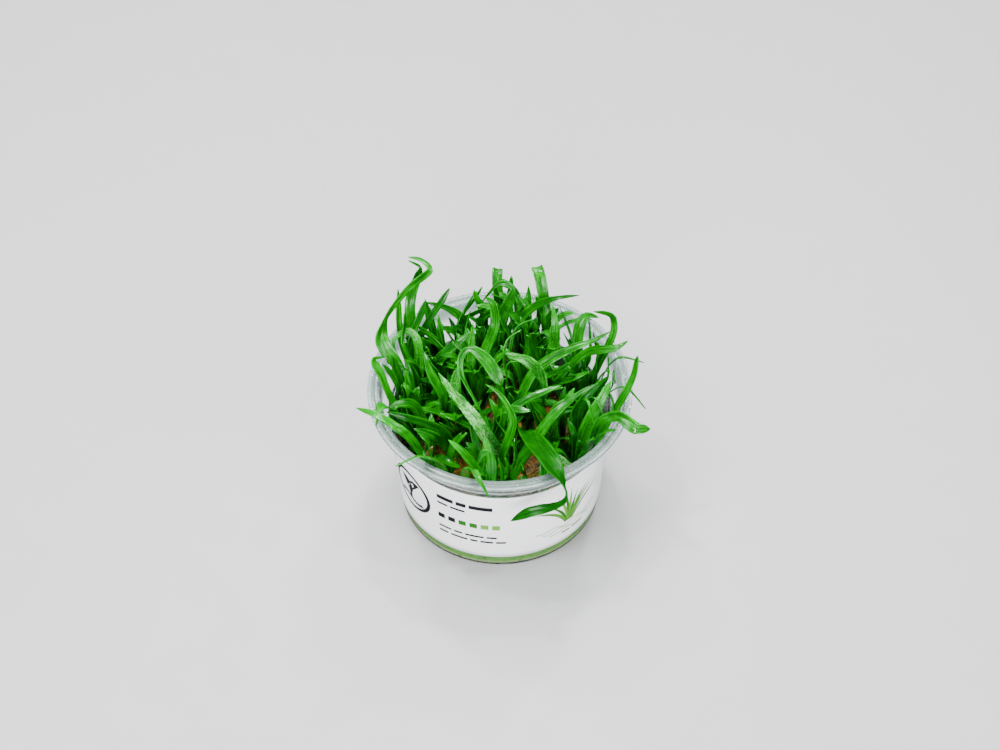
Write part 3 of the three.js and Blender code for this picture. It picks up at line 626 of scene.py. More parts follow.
@dataclass
class Blade:
    """A blade as stations from foot to tip, read off a faceted solid or grown beside one.

    Where a copy of it leans out it stands lower, by a share of its height, and it droops from a share
    of its length on.
    """

    stations: list[Station]
    lowered: float = 0.25
    droops_from: float = 0.5

    def length(self) -> float:
        """The blade's length in metres."""
        pairs = zip(self.stations, self.stations[1:])
        return sum((after.centre - before.centre).length for before, after in pairs)

    def heading(self, index: int) -> Vector:
        """The blade's direction at a station."""
        before, after = max(index - 1, 0), min(index + 1, len(self.stations) - 1)
        return (self.stations[after].centre - self.stations[before].centre).normalized()

    def aligned(self) -> list[Station]:
        """Copies of the stations with their sides all pointing one way.

        Returns:
            The copies, each with its side on the same hand of its upper face.
        """
        made = []
        for index, station in enumerate(self.stations):
            hand = station.up.cross(self.heading(index))
            made.append(replace(station, side=station.side * math.copysign(1, station.side.dot(hand))))
        return made

    def turned(self, axis_point: Vector, angle: float, lift: float, width: float, spread: float,
               droop: float) -> "Blade":
        """The blade's sibling, turned round the crown, shortened and leaned out more or less.

        Args:
            axis_point: A point on the crown's upright axis.
            angle: How far it turns.
            lift: Its height as a share of this blade's.
            width: Its width as a share of this blade's.
            spread: How far its tip leans out, as a share of its length.
            droop: How much its tip hangs.

        Returns:
            The new blade.
        """
        turn = Matrix.Rotation(angle, 3, "Z")
        length = self.length()
        tip = turn @ (self.stations[-1].centre - axis_point)
        outward = Vector((tip.x, tip.y, 0)).normalized()
        made = []
        for index, station in enumerate(self.stations):
            share = index / (len(self.stations) - 1)
            arm = turn @ (station.centre - axis_point)
            arm.z *= lift - self.lowered * abs(spread) * share
            arm += outward * (spread * length * share ** 2)
            arm.z -= droop * length * max(0.0, share - self.droops_from) ** 2
            half = station.half * width
            made.append(Station(axis_point + arm, turn @ station.side, turn @ station.up, half))
        return Blade(made)

    def kept_in(self, room: "Cup") -> "Blade":
        """The blade leaned in where it would go through the cup's wall.

        Args:
            room: The cup.

        Returns:
            The blade, clear of the wall.
        """
        made = []
        for station in self.stations:
            level = Vector((station.centre.x, station.centre.y))
            allowed = room.inside_radius(station.centre.z / MM) * MM - station.half
            share = min(1.0, allowed / max(level.length, TINY))
            made.append(replace(station, centre=Vector((*(level * share), station.centre.z))))
        return Blade(made)


@dataclass
class BladeReader:
    """Reads blades off a CAD node: each is a pointed tip with rings of three points below it."""

    node: str
    rooted_below: float = 29.5 * MM
    sharp: float = math.radians(150)
    merge: float = 0.002 * MM
    decimals: int = 5

    def blades(self) -> list[Blade]:
        """Every blade of the node, from foot to tip as far as its rings stay whole.

        Returns:
            The blades, in the order of their tips' places.
        """
        work = bmesh.new()
        work.from_mesh(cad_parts[self.node].data)
        bmesh.ops.remove_doubles(work, verts=work.verts, dist=self.merge)
        tips = [vert for vert in work.verts if self.is_tip(vert)]
        tips.sort(key=lambda vert: tuple(round(value, self.decimals) for value in vert.co))
        found = [self.walk(tip) for tip in tips]
        work.free()
        return [blade for blade in found if len(blade.stations) > 2]

    def is_tip(self, vert: BMVert) -> bool:
        """Whether a vertex is a blade's pointed tip.

        Args:
            vert: A vertex of the merged solid.

        Returns:
            True where three narrow faces meet at it.
        """
        if len(vert.link_faces) != 3:
            return False
        return sum(loop.calc_angle() for loop in vert.link_loops) < self.sharp

    def walk(self, tip: BMVert) -> Blade:
        """Follows the rings down from a tip.

        Args:
            tip: The blade's tip.

        Returns:
            The blade, from its lowest whole ring to its tip.
        """
        seen = {tip}
        ring = {tip}
        stations: list[Station] = []
        while True:
            ring = {edge.other_vert(vert) for vert in ring for edge in vert.link_edges} - seen
            if len(ring) != 3:
                break
            seen |= ring
            stations.append(self.station([vert.co.copy() for vert in ring]))
            if stations[-1].centre.z < self.rooted_below and "heart" in self.node:
                stations.pop()
                break
        if stations:
            last = stations[0]
            stations.insert(0, Station(tip.co.copy(), last.side, last.up, 0.0))
        return Blade(stations[::-1])

    @staticmethod
    def station(ring: list[Vector]) -> Station:
        """The station that a ring of three points stands for.

        Args:
            ring: The blade's two edges and its keel, in any order.

        Returns:
            The station.
        """
        turns = [(*ring[first:], *ring[:first]) for first in range(len(ring))]
        left, right, keel = max(turns, key=lambda turn: (turn[0] - turn[1]).length)
        middle = (left + right) / 2
        side = (right - left).normalized()
        up = middle - keel
        up = (up - side * up.dot(side)).normalized()
        return Station(middle - up * ((middle - keel).length / 3), side, up, (right - left).length / 2)


@dataclass
class BladeForm:
    """How a blade's surface is drawn: its section and its waves as shares of its half-width, and how fine
    its mesh is."""

    seed: str
    tone: float
    # The share of painted sheen that the leaf finish puts on the blade.
    painted_sheen_share: float = 0.0
    channel: float = 0.22
    wave: float = 0.06
    groove: float = 0.07
    groove_width: float = 0.16
    row: float = 1.3 * MM
    fewest_rows: int = 14
    columns: int = 8
    tip_power: float = 1.7
    fullness: float = 1.0
    widest: float = 5 * MM
    halves: tuple[float, ...] = ()

    def draw(self, work: BMesh, blade: Blade) -> None:
        """Adds a blade to a bmesh as a grid drawn along its stations.

        Args:
            work: The bmesh, which gets the attributes that the leaf finish reads.
            blade: The blade.
        """
        stations = self.shaped(blade.aligned())
        chance = random.Random(self.seed)
        phase, count = chance.uniform(0, math.tau), chance.uniform(1.5, 3.0)
        lean = chance.uniform(-0.12, 0.12)
        length = blade.length()
        rows = max(self.fewest_rows, round(length / self.row))
        layers = {key: work.verts.layers.float.get(key) or work.verts.layers.float.new(key)
                  for key in ("across", "along", "tone", "painted_sheen_share", "reach", "span")}
        grid = bmesh.ops.create_grid(work, x_segments=self.columns, y_segments=rows, size=0.5)["verts"]
        last_row = []
        for vert in grid:
            across, along = 2 * vert.co.x, vert.co.y + 0.5
            spot = self.sample(stations, along)
            ripple = math.sin(math.tau * count * along + phase) * self.wave
            rise = self.channel * across ** 2 * (1 - 0.5 * along) + ripple * across + lean * across ** 3
            groove = self.groove * math.exp(-((across / self.groove_width) ** 2))
            vert.co = spot.centre + spot.side * (spot.half * across) + spot.up * (spot.half * (rise - groove))
            values = (across, along, self.tone, self.painted_sheen_share, along * length, spot.half * across)
            for key, value in zip(layers, values):
                vert[layers[key]] = value
            if along > 1 - 0.25 / rows:
                last_row.append(vert)
        bmesh.ops.pointmerge(work, verts=last_row, merge_co=stations[-1].centre)

    def shaped(self, stations: list[Station]) -> list[Station]:
        """The stations with their widths filled out to a strap, or as the leaf's own list of them says.

        Args:
            stations: The blade's stations.

        Returns:
            The same stations, new widths.
        """
        widest = max(station.half for station in stations)
        for index, station in enumerate(stations):
            if self.halves:
                spot = index / (len(stations) - 1) * (len(self.halves) - 1)
                start = min(int(spot), len(self.halves) - 2)
                first, second = self.halves[start:start + 2]
                station.half = (first + (second - first) * (spot - start)) * MM
            else:
                station.half = min(self.widest, widest * (station.half / widest) ** self.fullness)
        return stations

    def sample(self, stations: list[Station], along: float) -> Station:
        """The blade's smooth shape at a share of its length.

        Args:
            stations: Its aligned stations.
            along: From 0 at the foot to 1 at the tip.

        Returns:
            The station there.
        """
        lengths = [0.0]
        for before, after in zip(stations, stations[1:]):
            lengths.append(lengths[-1] + (after.centre - before.centre).length)
        wanted = along * lengths[-1]
        index = next((i for i in range(1, len(lengths)) if lengths[i] >= wanted), len(lengths) - 1) - 1
        gap = lengths[index + 1] - lengths[index]
        share = (wanted - lengths[index]) / gap
        here, there = stations[index], stations[index + 1]
        centre = hermite(here.centre, there.centre, self.slope(stations, lengths, index) * gap,
                         self.slope(stations, lengths, index + 1) * gap, share)
        side = here.side.lerp(there.side, share)
        up = here.up.lerp(there.up, share)
        up = (up - side * (up.dot(side) / side.length_squared)).normalized()
        if index + 2 == len(stations):
            half = here.half * (1 - share ** self.tip_power)
        else:
            half = here.half + (there.half - here.half) * share * share * (3 - 2 * share)
        return Station(centre, side.normalized(), up, half)

    @staticmethod
    def slope(stations: list[Station], lengths: list[float], index: int) -> Vector:
        """The blade's heading at a station, per metre of its length."""
        before, after = max(index - 1, 0), min(index + 1, len(stations) - 1)
        return (stations[after].centre - stations[before].centre) / (lengths[after] - lengths[before])


def hermite(start: Vector, end: Vector, leaving: Vector, arriving: Vector, share: float) -> Vector:
    """A point on a smooth curve between two points.

    Args:
        start: Where it starts.
        end: Where it ends.
        leaving: Its heading at the start.
        arriving: Its heading at the end.
        share: How far along, from 0 to 1.

    Returns:
        The point.
    """
    square, cube = share ** 2, share ** 3
    return (start * (2 * cube - 3 * square + 1) + leaving * (cube - 2 * square + share)
            + end * (3 * square - 2 * cube) + arriving * (cube - square))


@dataclass(frozen=True)
class Bend:
    """A stretch of a leaf that leans to the right or hangs lower, in millimetres, or turns about its own
    line, in degrees. Its place and its reach to each side are shares of the leaf from foot to tip."""

    place: float
    reach: float
    lean: float = 0.0
    drop: float = 0.0
    turn: float = 0.0

    def apply(self, blade: Blade) -> None:
        """Leans, lowers and turns the blade's stations.

        Args:
            blade: The blade.
        """
        for index, station in enumerate(blade.stations):
            share = index / (len(blade.stations) - 1)
            swell = math.cos(math.pi / 2 * min(1.0, abs(share - self.place) / self.reach))
            station.centre += Vector((self.lean, 0, -self.drop)) * (MM * swell)
            twist = Matrix.Rotation(math.radians(self.turn) * swell, 3, blade.heading(index))
            station.side, station.up = twist @ station.side, twist @ station.up


@dataclass(frozen=True)
class Look:
    """How one leaf looks: its tone from dark to bright, how much painted sheen its face has, how full its tip
    is, its half-widths in millimetres from foot to tip where they aren't its solid's, and its bends."""

    tone: float
    painted_sheen_share: float
    tip: float = 1.7
    halves: tuple[float, ...] = ()
    bends: tuple[Bend, ...] = ()


@dataclass
class Thicket:
    """All plantlets: the full leaves, the hearts with their young leaves, and the withered leaves."""

    green: Material
    dead: Material
    cup: "Cup"
    thickness: float = 0.42 * MM
    fullness: float = 0.92
    foot_depth: float = 1.4 * MM
    foot_swell: float = 1.1
    crown_slice: float = 0.1 * MM
    crown_radius: float = 1.9 * MM
    crown_narrowing: float = 0.6
    neck_height: float = 5 * MM
    neck_half: float = 1.3 * MM
    long_withered: float = 25 * MM
    laid_forward: Vector = field(default_factory=lambda: Vector((1.6, -1.8, 0.8)) * MM)
    siblings: dict[str, int] = field(default_factory=lambda: {
        "plantlet_5_heart": 0, "plantlet_14_heart": 0, "plantlet_2_heart": 1, "plantlet_4_heart": 1,
        "plantlet_1_heart": 1, "plantlet_3_heart": 1, "plantlet_6_heart": 2, "plantlet_8_heart": 2,
        "plantlet_7_heart": 3,
    })
    back_siblings: int = 4
    # Each look's second number is the leaf's share of painted sheen.
    looks: dict[str, Look] = field(default_factory=lambda: {
        "plantlet_1_leaf_1": Look(0.55, 0.10, tip=3.2, halves=(1.1, 0.8, 0.7, 0.7, 1.2, 1.3, 1.0, 2.5, 2.7)),
        "plantlet_1_leaf_2": Look(0.80, 0.75),
        # This leaf's dark tone is painted shade on its upper flat stretch, which faces away from the light.
        "plantlet_1_leaf_3": Look(0.00, 0.00, halves=(1.2, 1.2, 1.2, 1.3, 1.6, 2.3, 3.0, 3.7, 4.2, 4.3, 3.9,
                                                      2.8, 1.8, 1.1, 1.0, 1.1, 1.5, 1.9, 1.9, 0.3)),
        "plantlet_1_leaf_4": Look(0.45, 0.10),
        "plantlet_2_leaf_1": Look(0.80, 0.10),
        "plantlet_2_leaf_2": Look(0.85, 0.15),
        "plantlet_2_leaf_3": Look(0.70, 0.15),
        "plantlet_2_leaf_4": Look(0.50, 0.05),
        "plantlet_2_leaf_5": Look(0.85, 0.05),
        "plantlet_3_leaf_1": Look(0.35, 0.00),
        "plantlet_4_leaf_1": Look(0.50, 0.15, tip=2.4, bends=(Bend(0.54, 0.46, drop=2.3),),
                                  halves=(1.2, 1.2, 1.3, 1.6, 2.0, 2.2, 2.1, 2.0, 2.0, 2.2, 2.4, 2.4, 1.8,
                                          1.0)),
        "plantlet_4_leaf_2": Look(0.65, 0.15, tip=4.0, bends=(Bend(0.6, 0.8, 2.2),),
                                  halves=(1.2, 1.2, 1.3, 1.6, 1.8, 1.8, 1.7, 1.6, 1.5, 1.2)),
        "plantlet_4_leaf_3": Look(0.80, 0.20),
        "plantlet_5_leaf_1": Look(0.90, 0.10, halves=(1.0, 1.2, 1.3, 1.5, 1.7, 1.7, 1.6, 1.2, 0.8)),
        "plantlet_5_leaf_2": Look(0.85, 0.30),
        "plantlet_5_leaf_3": Look(0.20, 0.05, halves=(1.1, 1.2, 1.5, 1.7, 1.8, 1.8, 1.7, 1.5, 1.0)),
        "plantlet_6_leaf_2": Look(1.00, 0.50),
        "plantlet_7_leaf_1": Look(1.10, 0.10),
        "plantlet_7_leaf_2": Look(1.00, 0.05),
        "plantlet_7_leaf_3": Look(0.55, 0.10, bends=(Bend(1.0, 0.45, -4.0),)),
        "plantlet_7_leaf_4": Look(0.90, 0.40, bends=(Bend(1.0, 0.35, -3.0),),
                                  halves=(1.1, 1.1, 1.2, 1.4, 1.6, 1.7, 1.8, 1.8, 1.7, 1.5, 1.3, 1.1, 1.1,
                                          0.9, 0.6, 0.3)),
        "plantlet_8_leaf_1": Look(0.55, 0.45),
        "plantlet_8_leaf_3": Look(0.65, 0.35),
        "plantlet_9_leaf_1": Look(0.45, 0.10, bends=(Bend(0.65, 0.3, 1.6),),
                                  halves=(1.1, 1.0, 1.3, 1.5, 1.6, 1.6, 1.5, 0.9, 0.5)),
        "plantlet_9_leaf_2": Look(0.60, 0.15, bends=(Bend(0.75, 0.5, -2.4, 2.4),)),
        "plantlet_10_leaf_1": Look(0.75, 0.20, bends=(Bend(0.37, 0.22, -3.0), Bend(0.667, 0.17, turn=-45.0)),
                                   halves=(1.2, 1.2, 1.2, 1.2, 1.5, 2.0, 2.5, 2.8, 2.9, 3.1, 2.2, 1.9, 1.8,
                                           1.8, 1.6, 1.2, 1.1, 0.9, 0.7, 0.3)),
        "plantlet_11_leaf_1": Look(1.00, 0.45),
        "plantlet_11_leaf_2": Look(0.65, 0.15),
        "plantlet_12_leaf_1": Look(0.55, 0.25),
        "plantlet_14_leaf_1": Look(0.60, 0.95, bends=(Bend(0.5, 0.5, 3.2),),
                                   halves=(1.2, 1.2, 1.3, 2.2, 3.2, 3.6, 3.6, 2.2, 0.9)),
    })

    def build(self) -> None:
        """Makes a piece for each leaf and each heart."""
        for name in sorted(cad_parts):
            if "_leaf_" in name and name.startswith("plantlet"):
                self.full_leaf(name)
            elif name.endswith("_heart"):
                self.heart(name)
            elif name.startswith("withered"):
                self.withered(name)

    def finish_piece(self, work: BMesh, node: str, finish: Material, slot: Slot) -> None:
        """Gives drawn blades their thickness and puts them in their node's place.

        Args:
            work: The drawn blades.
            node: The CAD node that they replace.
            finish: Their material.
            slot: The record's slot.
        """
        piece = place(work, f"{node}_fine", finish, slot)
        thicken(piece, self.thickness)
        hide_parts(node)

    def sunk(self, blade: Blade) -> Blade:
        """The blade with its foot carried down into the root mat.

        Args:
            blade: A full leaf's blade.

        Returns:
            The blade with one station more.
        """
        foot = blade.stations[0]
        below = Station(foot.centre - UP * self.foot_depth, foot.side, foot.up, foot.half * self.foot_swell)
        return Blade([below, *blade.stations])

    def full_leaf(self, name: str) -> None:
        """Draws one full leaf.

        Args:
            name: Its CAD node.
        """
        chance = random.Random(name)
        work = bmesh.new()
        for blade in BladeReader(name).blades():
            look = self.looks.get(name, Look(chance.uniform(0.25, 0.85), chance.uniform(0.0, 0.2)))
            form = BladeForm(name, look.tone, look.painted_sheen_share, channel=chance.uniform(0.12, 0.4),
                             wave=chance.uniform(0.03, 0.1), fullness=self.fullness, tip_power=look.tip,
                             halves=look.halves)
            for bend in look.bends:
                bend.apply(blade)
            form.draw(work, self.sunk(blade))
        self.finish_piece(work, name, self.green, Slot.LEAF)

    def crown_centre(self, name: str) -> Vector:
        """Where a heart's crown meets the root mat.

        Args:
            name: The heart's CAD node.

        Returns:
            The middle of the crown's foot.
        """
        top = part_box(name)[0].z + self.crown_slice
        points = [vert.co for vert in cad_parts[name].data.vertices if vert.co.z < top]
        return sum(points, Vector()) / len(points)

    def heart(self, name: str) -> None:
        """Draws a crown and the young leaves fused to it.

        Args:
            name: Its CAD node.
        """
        chance = random.Random(name)
        centre = self.crown_centre(name)
        work = bmesh.new()
        for index, blade in enumerate(BladeReader(name).blades()):
            rooted = self.rooted(blade, centre)
            self.young(f"{name}{index}").draw(work, rooted)
            for copy in range(self.siblings.get(name, self.back_siblings)):
                angle = math.radians((1 if copy % 2 else -1) * chance.uniform(16, 30) * (1 + copy // 2))
                sibling = rooted.turned(centre, angle, chance.uniform(0.92, 1.06), chance.uniform(0.9, 1.25),
                                        chance.uniform(-0.25, 0.15), chance.uniform(0.0, 0.35))
                self.young(f"{name}{index}-{copy}").draw(work, sibling.kept_in(self.cup))
        self.finish_piece(work, name, self.green, Slot.HEART)

    @staticmethod
    def young(seed: str) -> BladeForm:
        """How a young leaf is drawn: a full strap, mostly of a deeper tone.

        Args:
            seed: What its random draws start from.

        Returns:
            The form.
        """
        chance = random.Random(seed)
        # About a tenth of the young leaves get a stronger painted sheen; the rest get little.
        painted_sheen_share = chance.uniform(0.25, 0.5) if chance.random() < 0.1 else chance.uniform(0, 0.1)
        return BladeForm(seed, chance.uniform(0.05, 0.85), painted_sheen_share, channel=chance.uniform(0.15, 0.5),
                         wave=chance.uniform(0.04, 0.16), tip_power=chance.uniform(1.5, 2.4),
                         fullness=chance.uniform(0.4, 0.7), widest=chance.uniform(1.25, 1.95) * MM)

    def rooted(self, blade: Blade, centre: Vector) -> Blade:
        """A young blade with its foot carried into the crown.

        Args:
            blade: The blade, from just above the crown.
            centre: The crown's foot.

        Returns:
            The blade with two stations more.
        """
        lowest = blade.stations[0]
        outward = (lowest.centre - centre).normalized()
        heading = Vector((outward.x, outward.y, 0)).normalized()
        half = min(lowest.half, self.neck_half)
        side, edge = heading.cross(UP), heading * self.crown_radius
        neck = Station(centre + edge + UP * self.neck_height, side, -heading, half)
        foot = Station(centre + edge * self.crown_narrowing - UP * self.foot_depth, side, -heading, half)
        return Blade([foot, neck, *blade.stations])

    def withered(self, name: str) -> None:
        """Draws one withered leaf, shrivelled and rolled in along its length.

        Args:
            name: Its CAD node.
        """
        work = bmesh.new()
        for blade in BladeReader(name).blades():
            if blade.length() > self.long_withered:
                for station in blade.stations[1:]:
                    station.centre += self.laid_forward
            BladeForm(name, random.Random(name).uniform(0, 0.5), channel=0.7, wave=0.3, fullness=0.6,
                      tip_power=3.0).draw(work, blade)
        self.finish_piece(work, name, self.dead, Slot.WITHERED)


@dataclass
class Lathe:
    """Turns a rounded profile round the upright axis. A rounding reaches no further than a share of each
    side of its corner."""

    steps: int = 144
    arc_points: int = 4
    longest_share: float = 0.45
    merge: float = 0.001 * MM

    def rounded(self, corners: list[Triple]) -> list[Vector]:
        """The profile with its corners rounded.

        Args:
            corners: Radius, height and rounding of each corner, in millimetres.

        Returns:
            The profile's points in metres, in the plane of X and Z.
        """
        points = [Vector((radius * MM, 0.0, height * MM)) for radius, height, _ in corners]
        made = [points[0]]
        for index in range(1, len(points) - 1):
            here, rounding = points[index], corners[index][2] * MM
            back, on = points[index - 1] - here, points[index + 1] - here
            reach = min(rounding, self.longest_share * back.length, self.longest_share * on.length)
            if reach < TINY:
                made.append(here)
                continue
            start, end = here + back.normalized() * reach, here + on.normalized() * reach
            for step in range(self.arc_points + 1):
                share = step / self.arc_points
                made.append(start.lerp(here, share).lerp(here.lerp(end, share), share))
        made.append(points[-1])
        return made

    def turn(self, corners: list[Triple]) -> BMesh:
        """Spins a rounded profile into a closed skin.

        Args:
            corners: Its corners, which start and end on the axis.

        Returns:
            The bmesh.
        """
        work = bmesh.new()
        verts = [work.verts.new(point) for point in self.rounded(corners)]
        edges = [work.edges.new(pair) for pair in zip(verts, verts[1:])]
        bmesh.ops.spin(work, geom=verts + edges, cent=(0, 0, 0), axis=UP, angle=math.tau, steps=self.steps,
                       use_merge=True)
        bmesh.ops.remove_doubles(work, verts=work.verts, dist=self.merge)
        bmesh.ops.recalc_face_normals(work, faces=work.faces)
        return work


@dataclass
class Cup:
    """The clear cup: tapered wall, shoulder and flange, with its sizes in millimetres."""

    finish: Material
    lathe: Lathe
    base_radius: float = 41.2
    taper: float = 0.062
    wall: float = 0.9
    floor: float = 0.7
    shoulder: Triple = (50.2, 52.8, 47.1)
    flange_inner: float = 47.9
    flange_thickness: float = 0.8
    flange_edge: float = 0.3
    lip: float = 0.5
    border: float = 1.0
    panel_depth: float = 0.15
    ridge: float = 49.4
    ridge_height: float = 0.3
    ridge_half: float = 0.6
    wall_gap: float = 0.6
    rim_gap: float = 0.4

    def wall_radius(self, height: float) -> float:
        """The outside radius of the tapered wall at a height."""
        return self.base_radius + self.taper * height

    def inside_radius(self, height: float) -> float:
        """How far out a leaf may reach, clear of the wall and the flange.

        Args:
            height: How high up.

        Returns:
            The radius there.
        """
        shoulder_low, _, shoulder_radius = self.shoulder
        if height < shoulder_low:
            return self.wall_radius(height) - self.wall - self.wall_gap
        return shoulder_radius - self.wall - self.rim_gap

    def corners(self) -> list[Triple]:
        """The cup's section: radius, height and rounding of each corner.

        Returns:
            The corners from the middle of its base, up outside and down inside.
        """
        low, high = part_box("cup")
        rim, top = high.x / MM, high.z / MM - self.ridge_height
        under = top - self.flange_thickness
        shoulder_low, shoulder_high, shoulder_radius = self.shoulder
        inner = self.wall_radius(shoulder_low) - self.wall
        return [
            (0, low.z / MM, 0),
            (self.base_radius - 0.1, 0, 0.7),
            (self.wall_radius(shoulder_low), shoulder_low, 1.2),
            (shoulder_radius, shoulder_high, 1.0),
            (self.flange_inner + 0.6, under, 0.8),
            (rim - self.lip, under, 0.15),
            (rim - self.lip, under - self.flange_edge, 0.15),
            (rim, under - self.flange_edge, 0.15),
            (rim, top, 0.35),
            (rim - self.border, top, 0.1),
            (rim - self.border - 0.2, top - self.panel_depth, 0.1),
            (self.ridge + self.ridge_half, top - self.panel_depth, 0.2),
            (self.ridge, top + self.ridge_height, 0.3),
            (self.ridge - self.ridge_half, top - 0.1, 0.2),
            (self.flange_inner, top - 0.1, 0.5),
            (shoulder_radius - self.wall, shoulder_high + 0.1, 0.9),
            (inner, shoulder_low + 0.4, 1.2),
            (self.base_radius - self.wall, self.floor, 0.5),
            (0, self.floor, 0),
        ]

    def build(self) -> None:
        """Makes the cup."""
        piece = place(self.lathe.turn(self.corners()), "cup_clear", self.finish, Slot.CUP)
        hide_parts("cup")


@dataclass
class Gel:
    """The nutrient gel, a little raised where it meets the wall."""

    finish: Material
    lathe: Lathe
    meniscus: float = 0.25
    meniscus_width: float = 0.8
    swelling: float = 0.3
    sinking: float = 0.25

    def build(self) -> None:
        """Makes the gel, which all but touches the wall."""
        low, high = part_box("nutrient_gel")
        radius, bottom, top = high.x / MM + self.swelling, low.z / MM - self.sinking, high.z / MM
        corners = [
            (0, bottom, 0),
            (radius - self.meniscus_width, bottom, 0.5),
            (radius, top, 0.1),
            (radius - self.meniscus_width, top - self.meniscus, 0.4),
            (0, top - self.meniscus, 0),
        ]
        piece = place(self.lathe.turn(corners), "gel_cloudy", self.finish, Slot.GEL)
        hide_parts("nutrient_gel")


@dataclass
class RootMat:
    """The mat of roots: an uneven slab, and loose strands that lie over it."""

    finish: Material
    strand_finish: Material
    strands: int = 420
    strand_radius: float = 0.16 * MM
    strand_points: int = 9
    strand_step: float = 1.3 * MM
    strand_reach: float = 0.93
    strand_margin: float = 0.8 * MM
    strand_taper: float = 0.8
    highest_arch: float = 4.5 * MM
    seed: int = 7
    rings: int = 26
    segments: int = 96
    lump: float = 6 * MM
    knot: float = 2 * MM
    relief: float = 0.9 * MM
    sink: float = 0.6 * MM
    merge: float = 0.05 * MM
    smallest_ring: float = 0.001

    def height(self, x: float, y: float, top: float) -> float:
        """The mat's surface at a place.

        Args:
            x: Along X.
            y: Along Y.
            top: The solid's top.

        Returns:
            The height there.
        """
        lumps = noise.noise(Vector((x, y, 0.0)) / self.lump)
        knots = noise.noise(Vector((x, y, 1.0)) / self.knot)
        return top - self.sink + self.relief * (lumps + 0.5 * knots)

    def build(self) -> None:
        """Makes the slab, then the strands over it."""
        low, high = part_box("root_mat")
        radius, bottom, top = high.x, low.z, high.z
        work = bmesh.new()
        verts = bmesh.ops.create_circle(work, segments=self.segments, radius=radius)["verts"]
        rim = list({edge for vert in verts for edge in vert.link_edges})
        inner = rim
        for ring in range(self.rings):
            share = 1 - (ring + 1) / self.rings
            moved, inner = self.extruded(work, inner)
            for vert in moved:
                vert.co = vert.co * (max(share, self.smallest_ring) / (share + 1 / self.rings))
        for vert in work.verts:
            vert.co.z = self.height(vert.co.x, vert.co.y, top)
        for vert in self.extruded(work, rim)[0]:
            vert.co.z = bottom
        bmesh.ops.remove_doubles(work, verts=work.verts, dist=self.merge)
        open_edges = [edge for edge in work.edges if edge.is_boundary]
        bmesh.ops.contextual_create(work, geom=open_edges)
        bmesh.ops.recalc_face_normals(work, faces=work.faces)
        piece = place(work, "root_mat_matted", self.finish, Slot.MAT)
        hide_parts("root_mat")
        self.lay_strands(radius, top)

    @staticmethod
    def extruded(work: BMesh, edges: list[BMEdge]) -> tuple[list[BMVert], list[BMEdge]]:
        """Grows a row of faces from some edges.

        Args:
            work: The bmesh.
            edges: The edges.

        Returns:
            The new row's vertices and its far edges, which still lie on the old ones.
        """
        made = bmesh.ops.extrude_edge_only(work, edges=edges)["geom"]
        return ([item for item in made if isinstance(item, BMVert)],
                [item for item in made if isinstance(item, BMEdge)])

    def lay_strands(self, radius: float, top: float) -> None:
        """Lays thin root strands over the slab as round curves.

        Args:
            radius: The mat's radius.
            top: The solid's top.
        """
        chance = random.Random(self.seed)
        data = bpy.data.curves.new("root_strands", "CURVE")
        data.dimensions = "3D"
        data.bevel_depth = self.strand_radius
        data.bevel_resolution = 1
        data.resolution_u = 2
        for _ in range(self.strands):
            reach = radius * self.strand_reach * math.sqrt(chance.random())
            heading = chance.uniform(0, math.tau)
            spot = Vector((reach, 0, 0))
            spot.rotate(Matrix.Rotation(chance.uniform(0, math.tau), 3, "Z"))
            bend = chance.uniform(-0.35, 0.35)
            lift = chance.uniform(0.1, 1.0) ** 2 * self.highest_arch
            thick = 0.6 + 2.2 * chance.random() ** 3
            spline = data.splines.new("NURBS")
            spline.points.add(self.strand_points - 1)
            spline.use_endpoint_u = True
            for index, point in enumerate(spline.points):
                heading += bend + chance.uniform(-0.25, 0.25)
                spot += Vector((math.cos(heading), math.sin(heading), 0)) * self.strand_step
                spot *= min(1.0, (radius - self.strand_margin) / max(spot.length, TINY))
                share = index / (self.strand_points - 1)
                level = self.height(spot.x, spot.y, top) + lift * math.sin(math.pi * share)
                point.co = (spot.x, spot.y, level, 1.0)
                point.radius = thick * (1 - self.strand_taper * share)
        data.materials.append(self.strand_finish)
        strands = added("root_strands", data)
        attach(strands, BODY)
        LOG.info("%s: %d strands", strands.name, self.strands)


@dataclass(frozen=True)
class Stroke:
    """One printed stroke, in millimetres along the label's front and up from its lower edge. It bows out
    by a share of its length, and a pointed one tapers from a blunt foot to its tip."""

    start: tuple[float, float]
    end: tuple[float, float]
    width: float
    ink: Ink
    bow: float = 0.0
    pointed: bool = False
    blunt: float = 0.12
    thinnest: float = 0.05
    piece_length: float = 1.5

    def stations(self) -> list[tuple[Vector, Vector]]:
        """The stroke's path.

        Returns:
            Its middle and its half-width as a vector across it, at each place along it.
        """
        start, end = Vector(self.start), Vector(self.end)
        run = end - start
        across = Vector((-run.y, run.x))
        steps = max(2, round(run.length / self.piece_length))
        made = []
        for index in range(steps + 1):
            share = index / steps
            middle = start + run * share + across * (self.bow * 4 * share * (1 - share))
            heading = run + across * (self.bow * 4 * (1 - 2 * share))
            taper = math.sin(math.pi * (self.blunt + (1 - self.blunt) * share))
            swell = max(self.thinnest, taper) if self.pointed else 1.0
            made.append((middle, Vector((-heading.y, heading.x)).normalized() * (self.width / 2 * swell)))
        return made


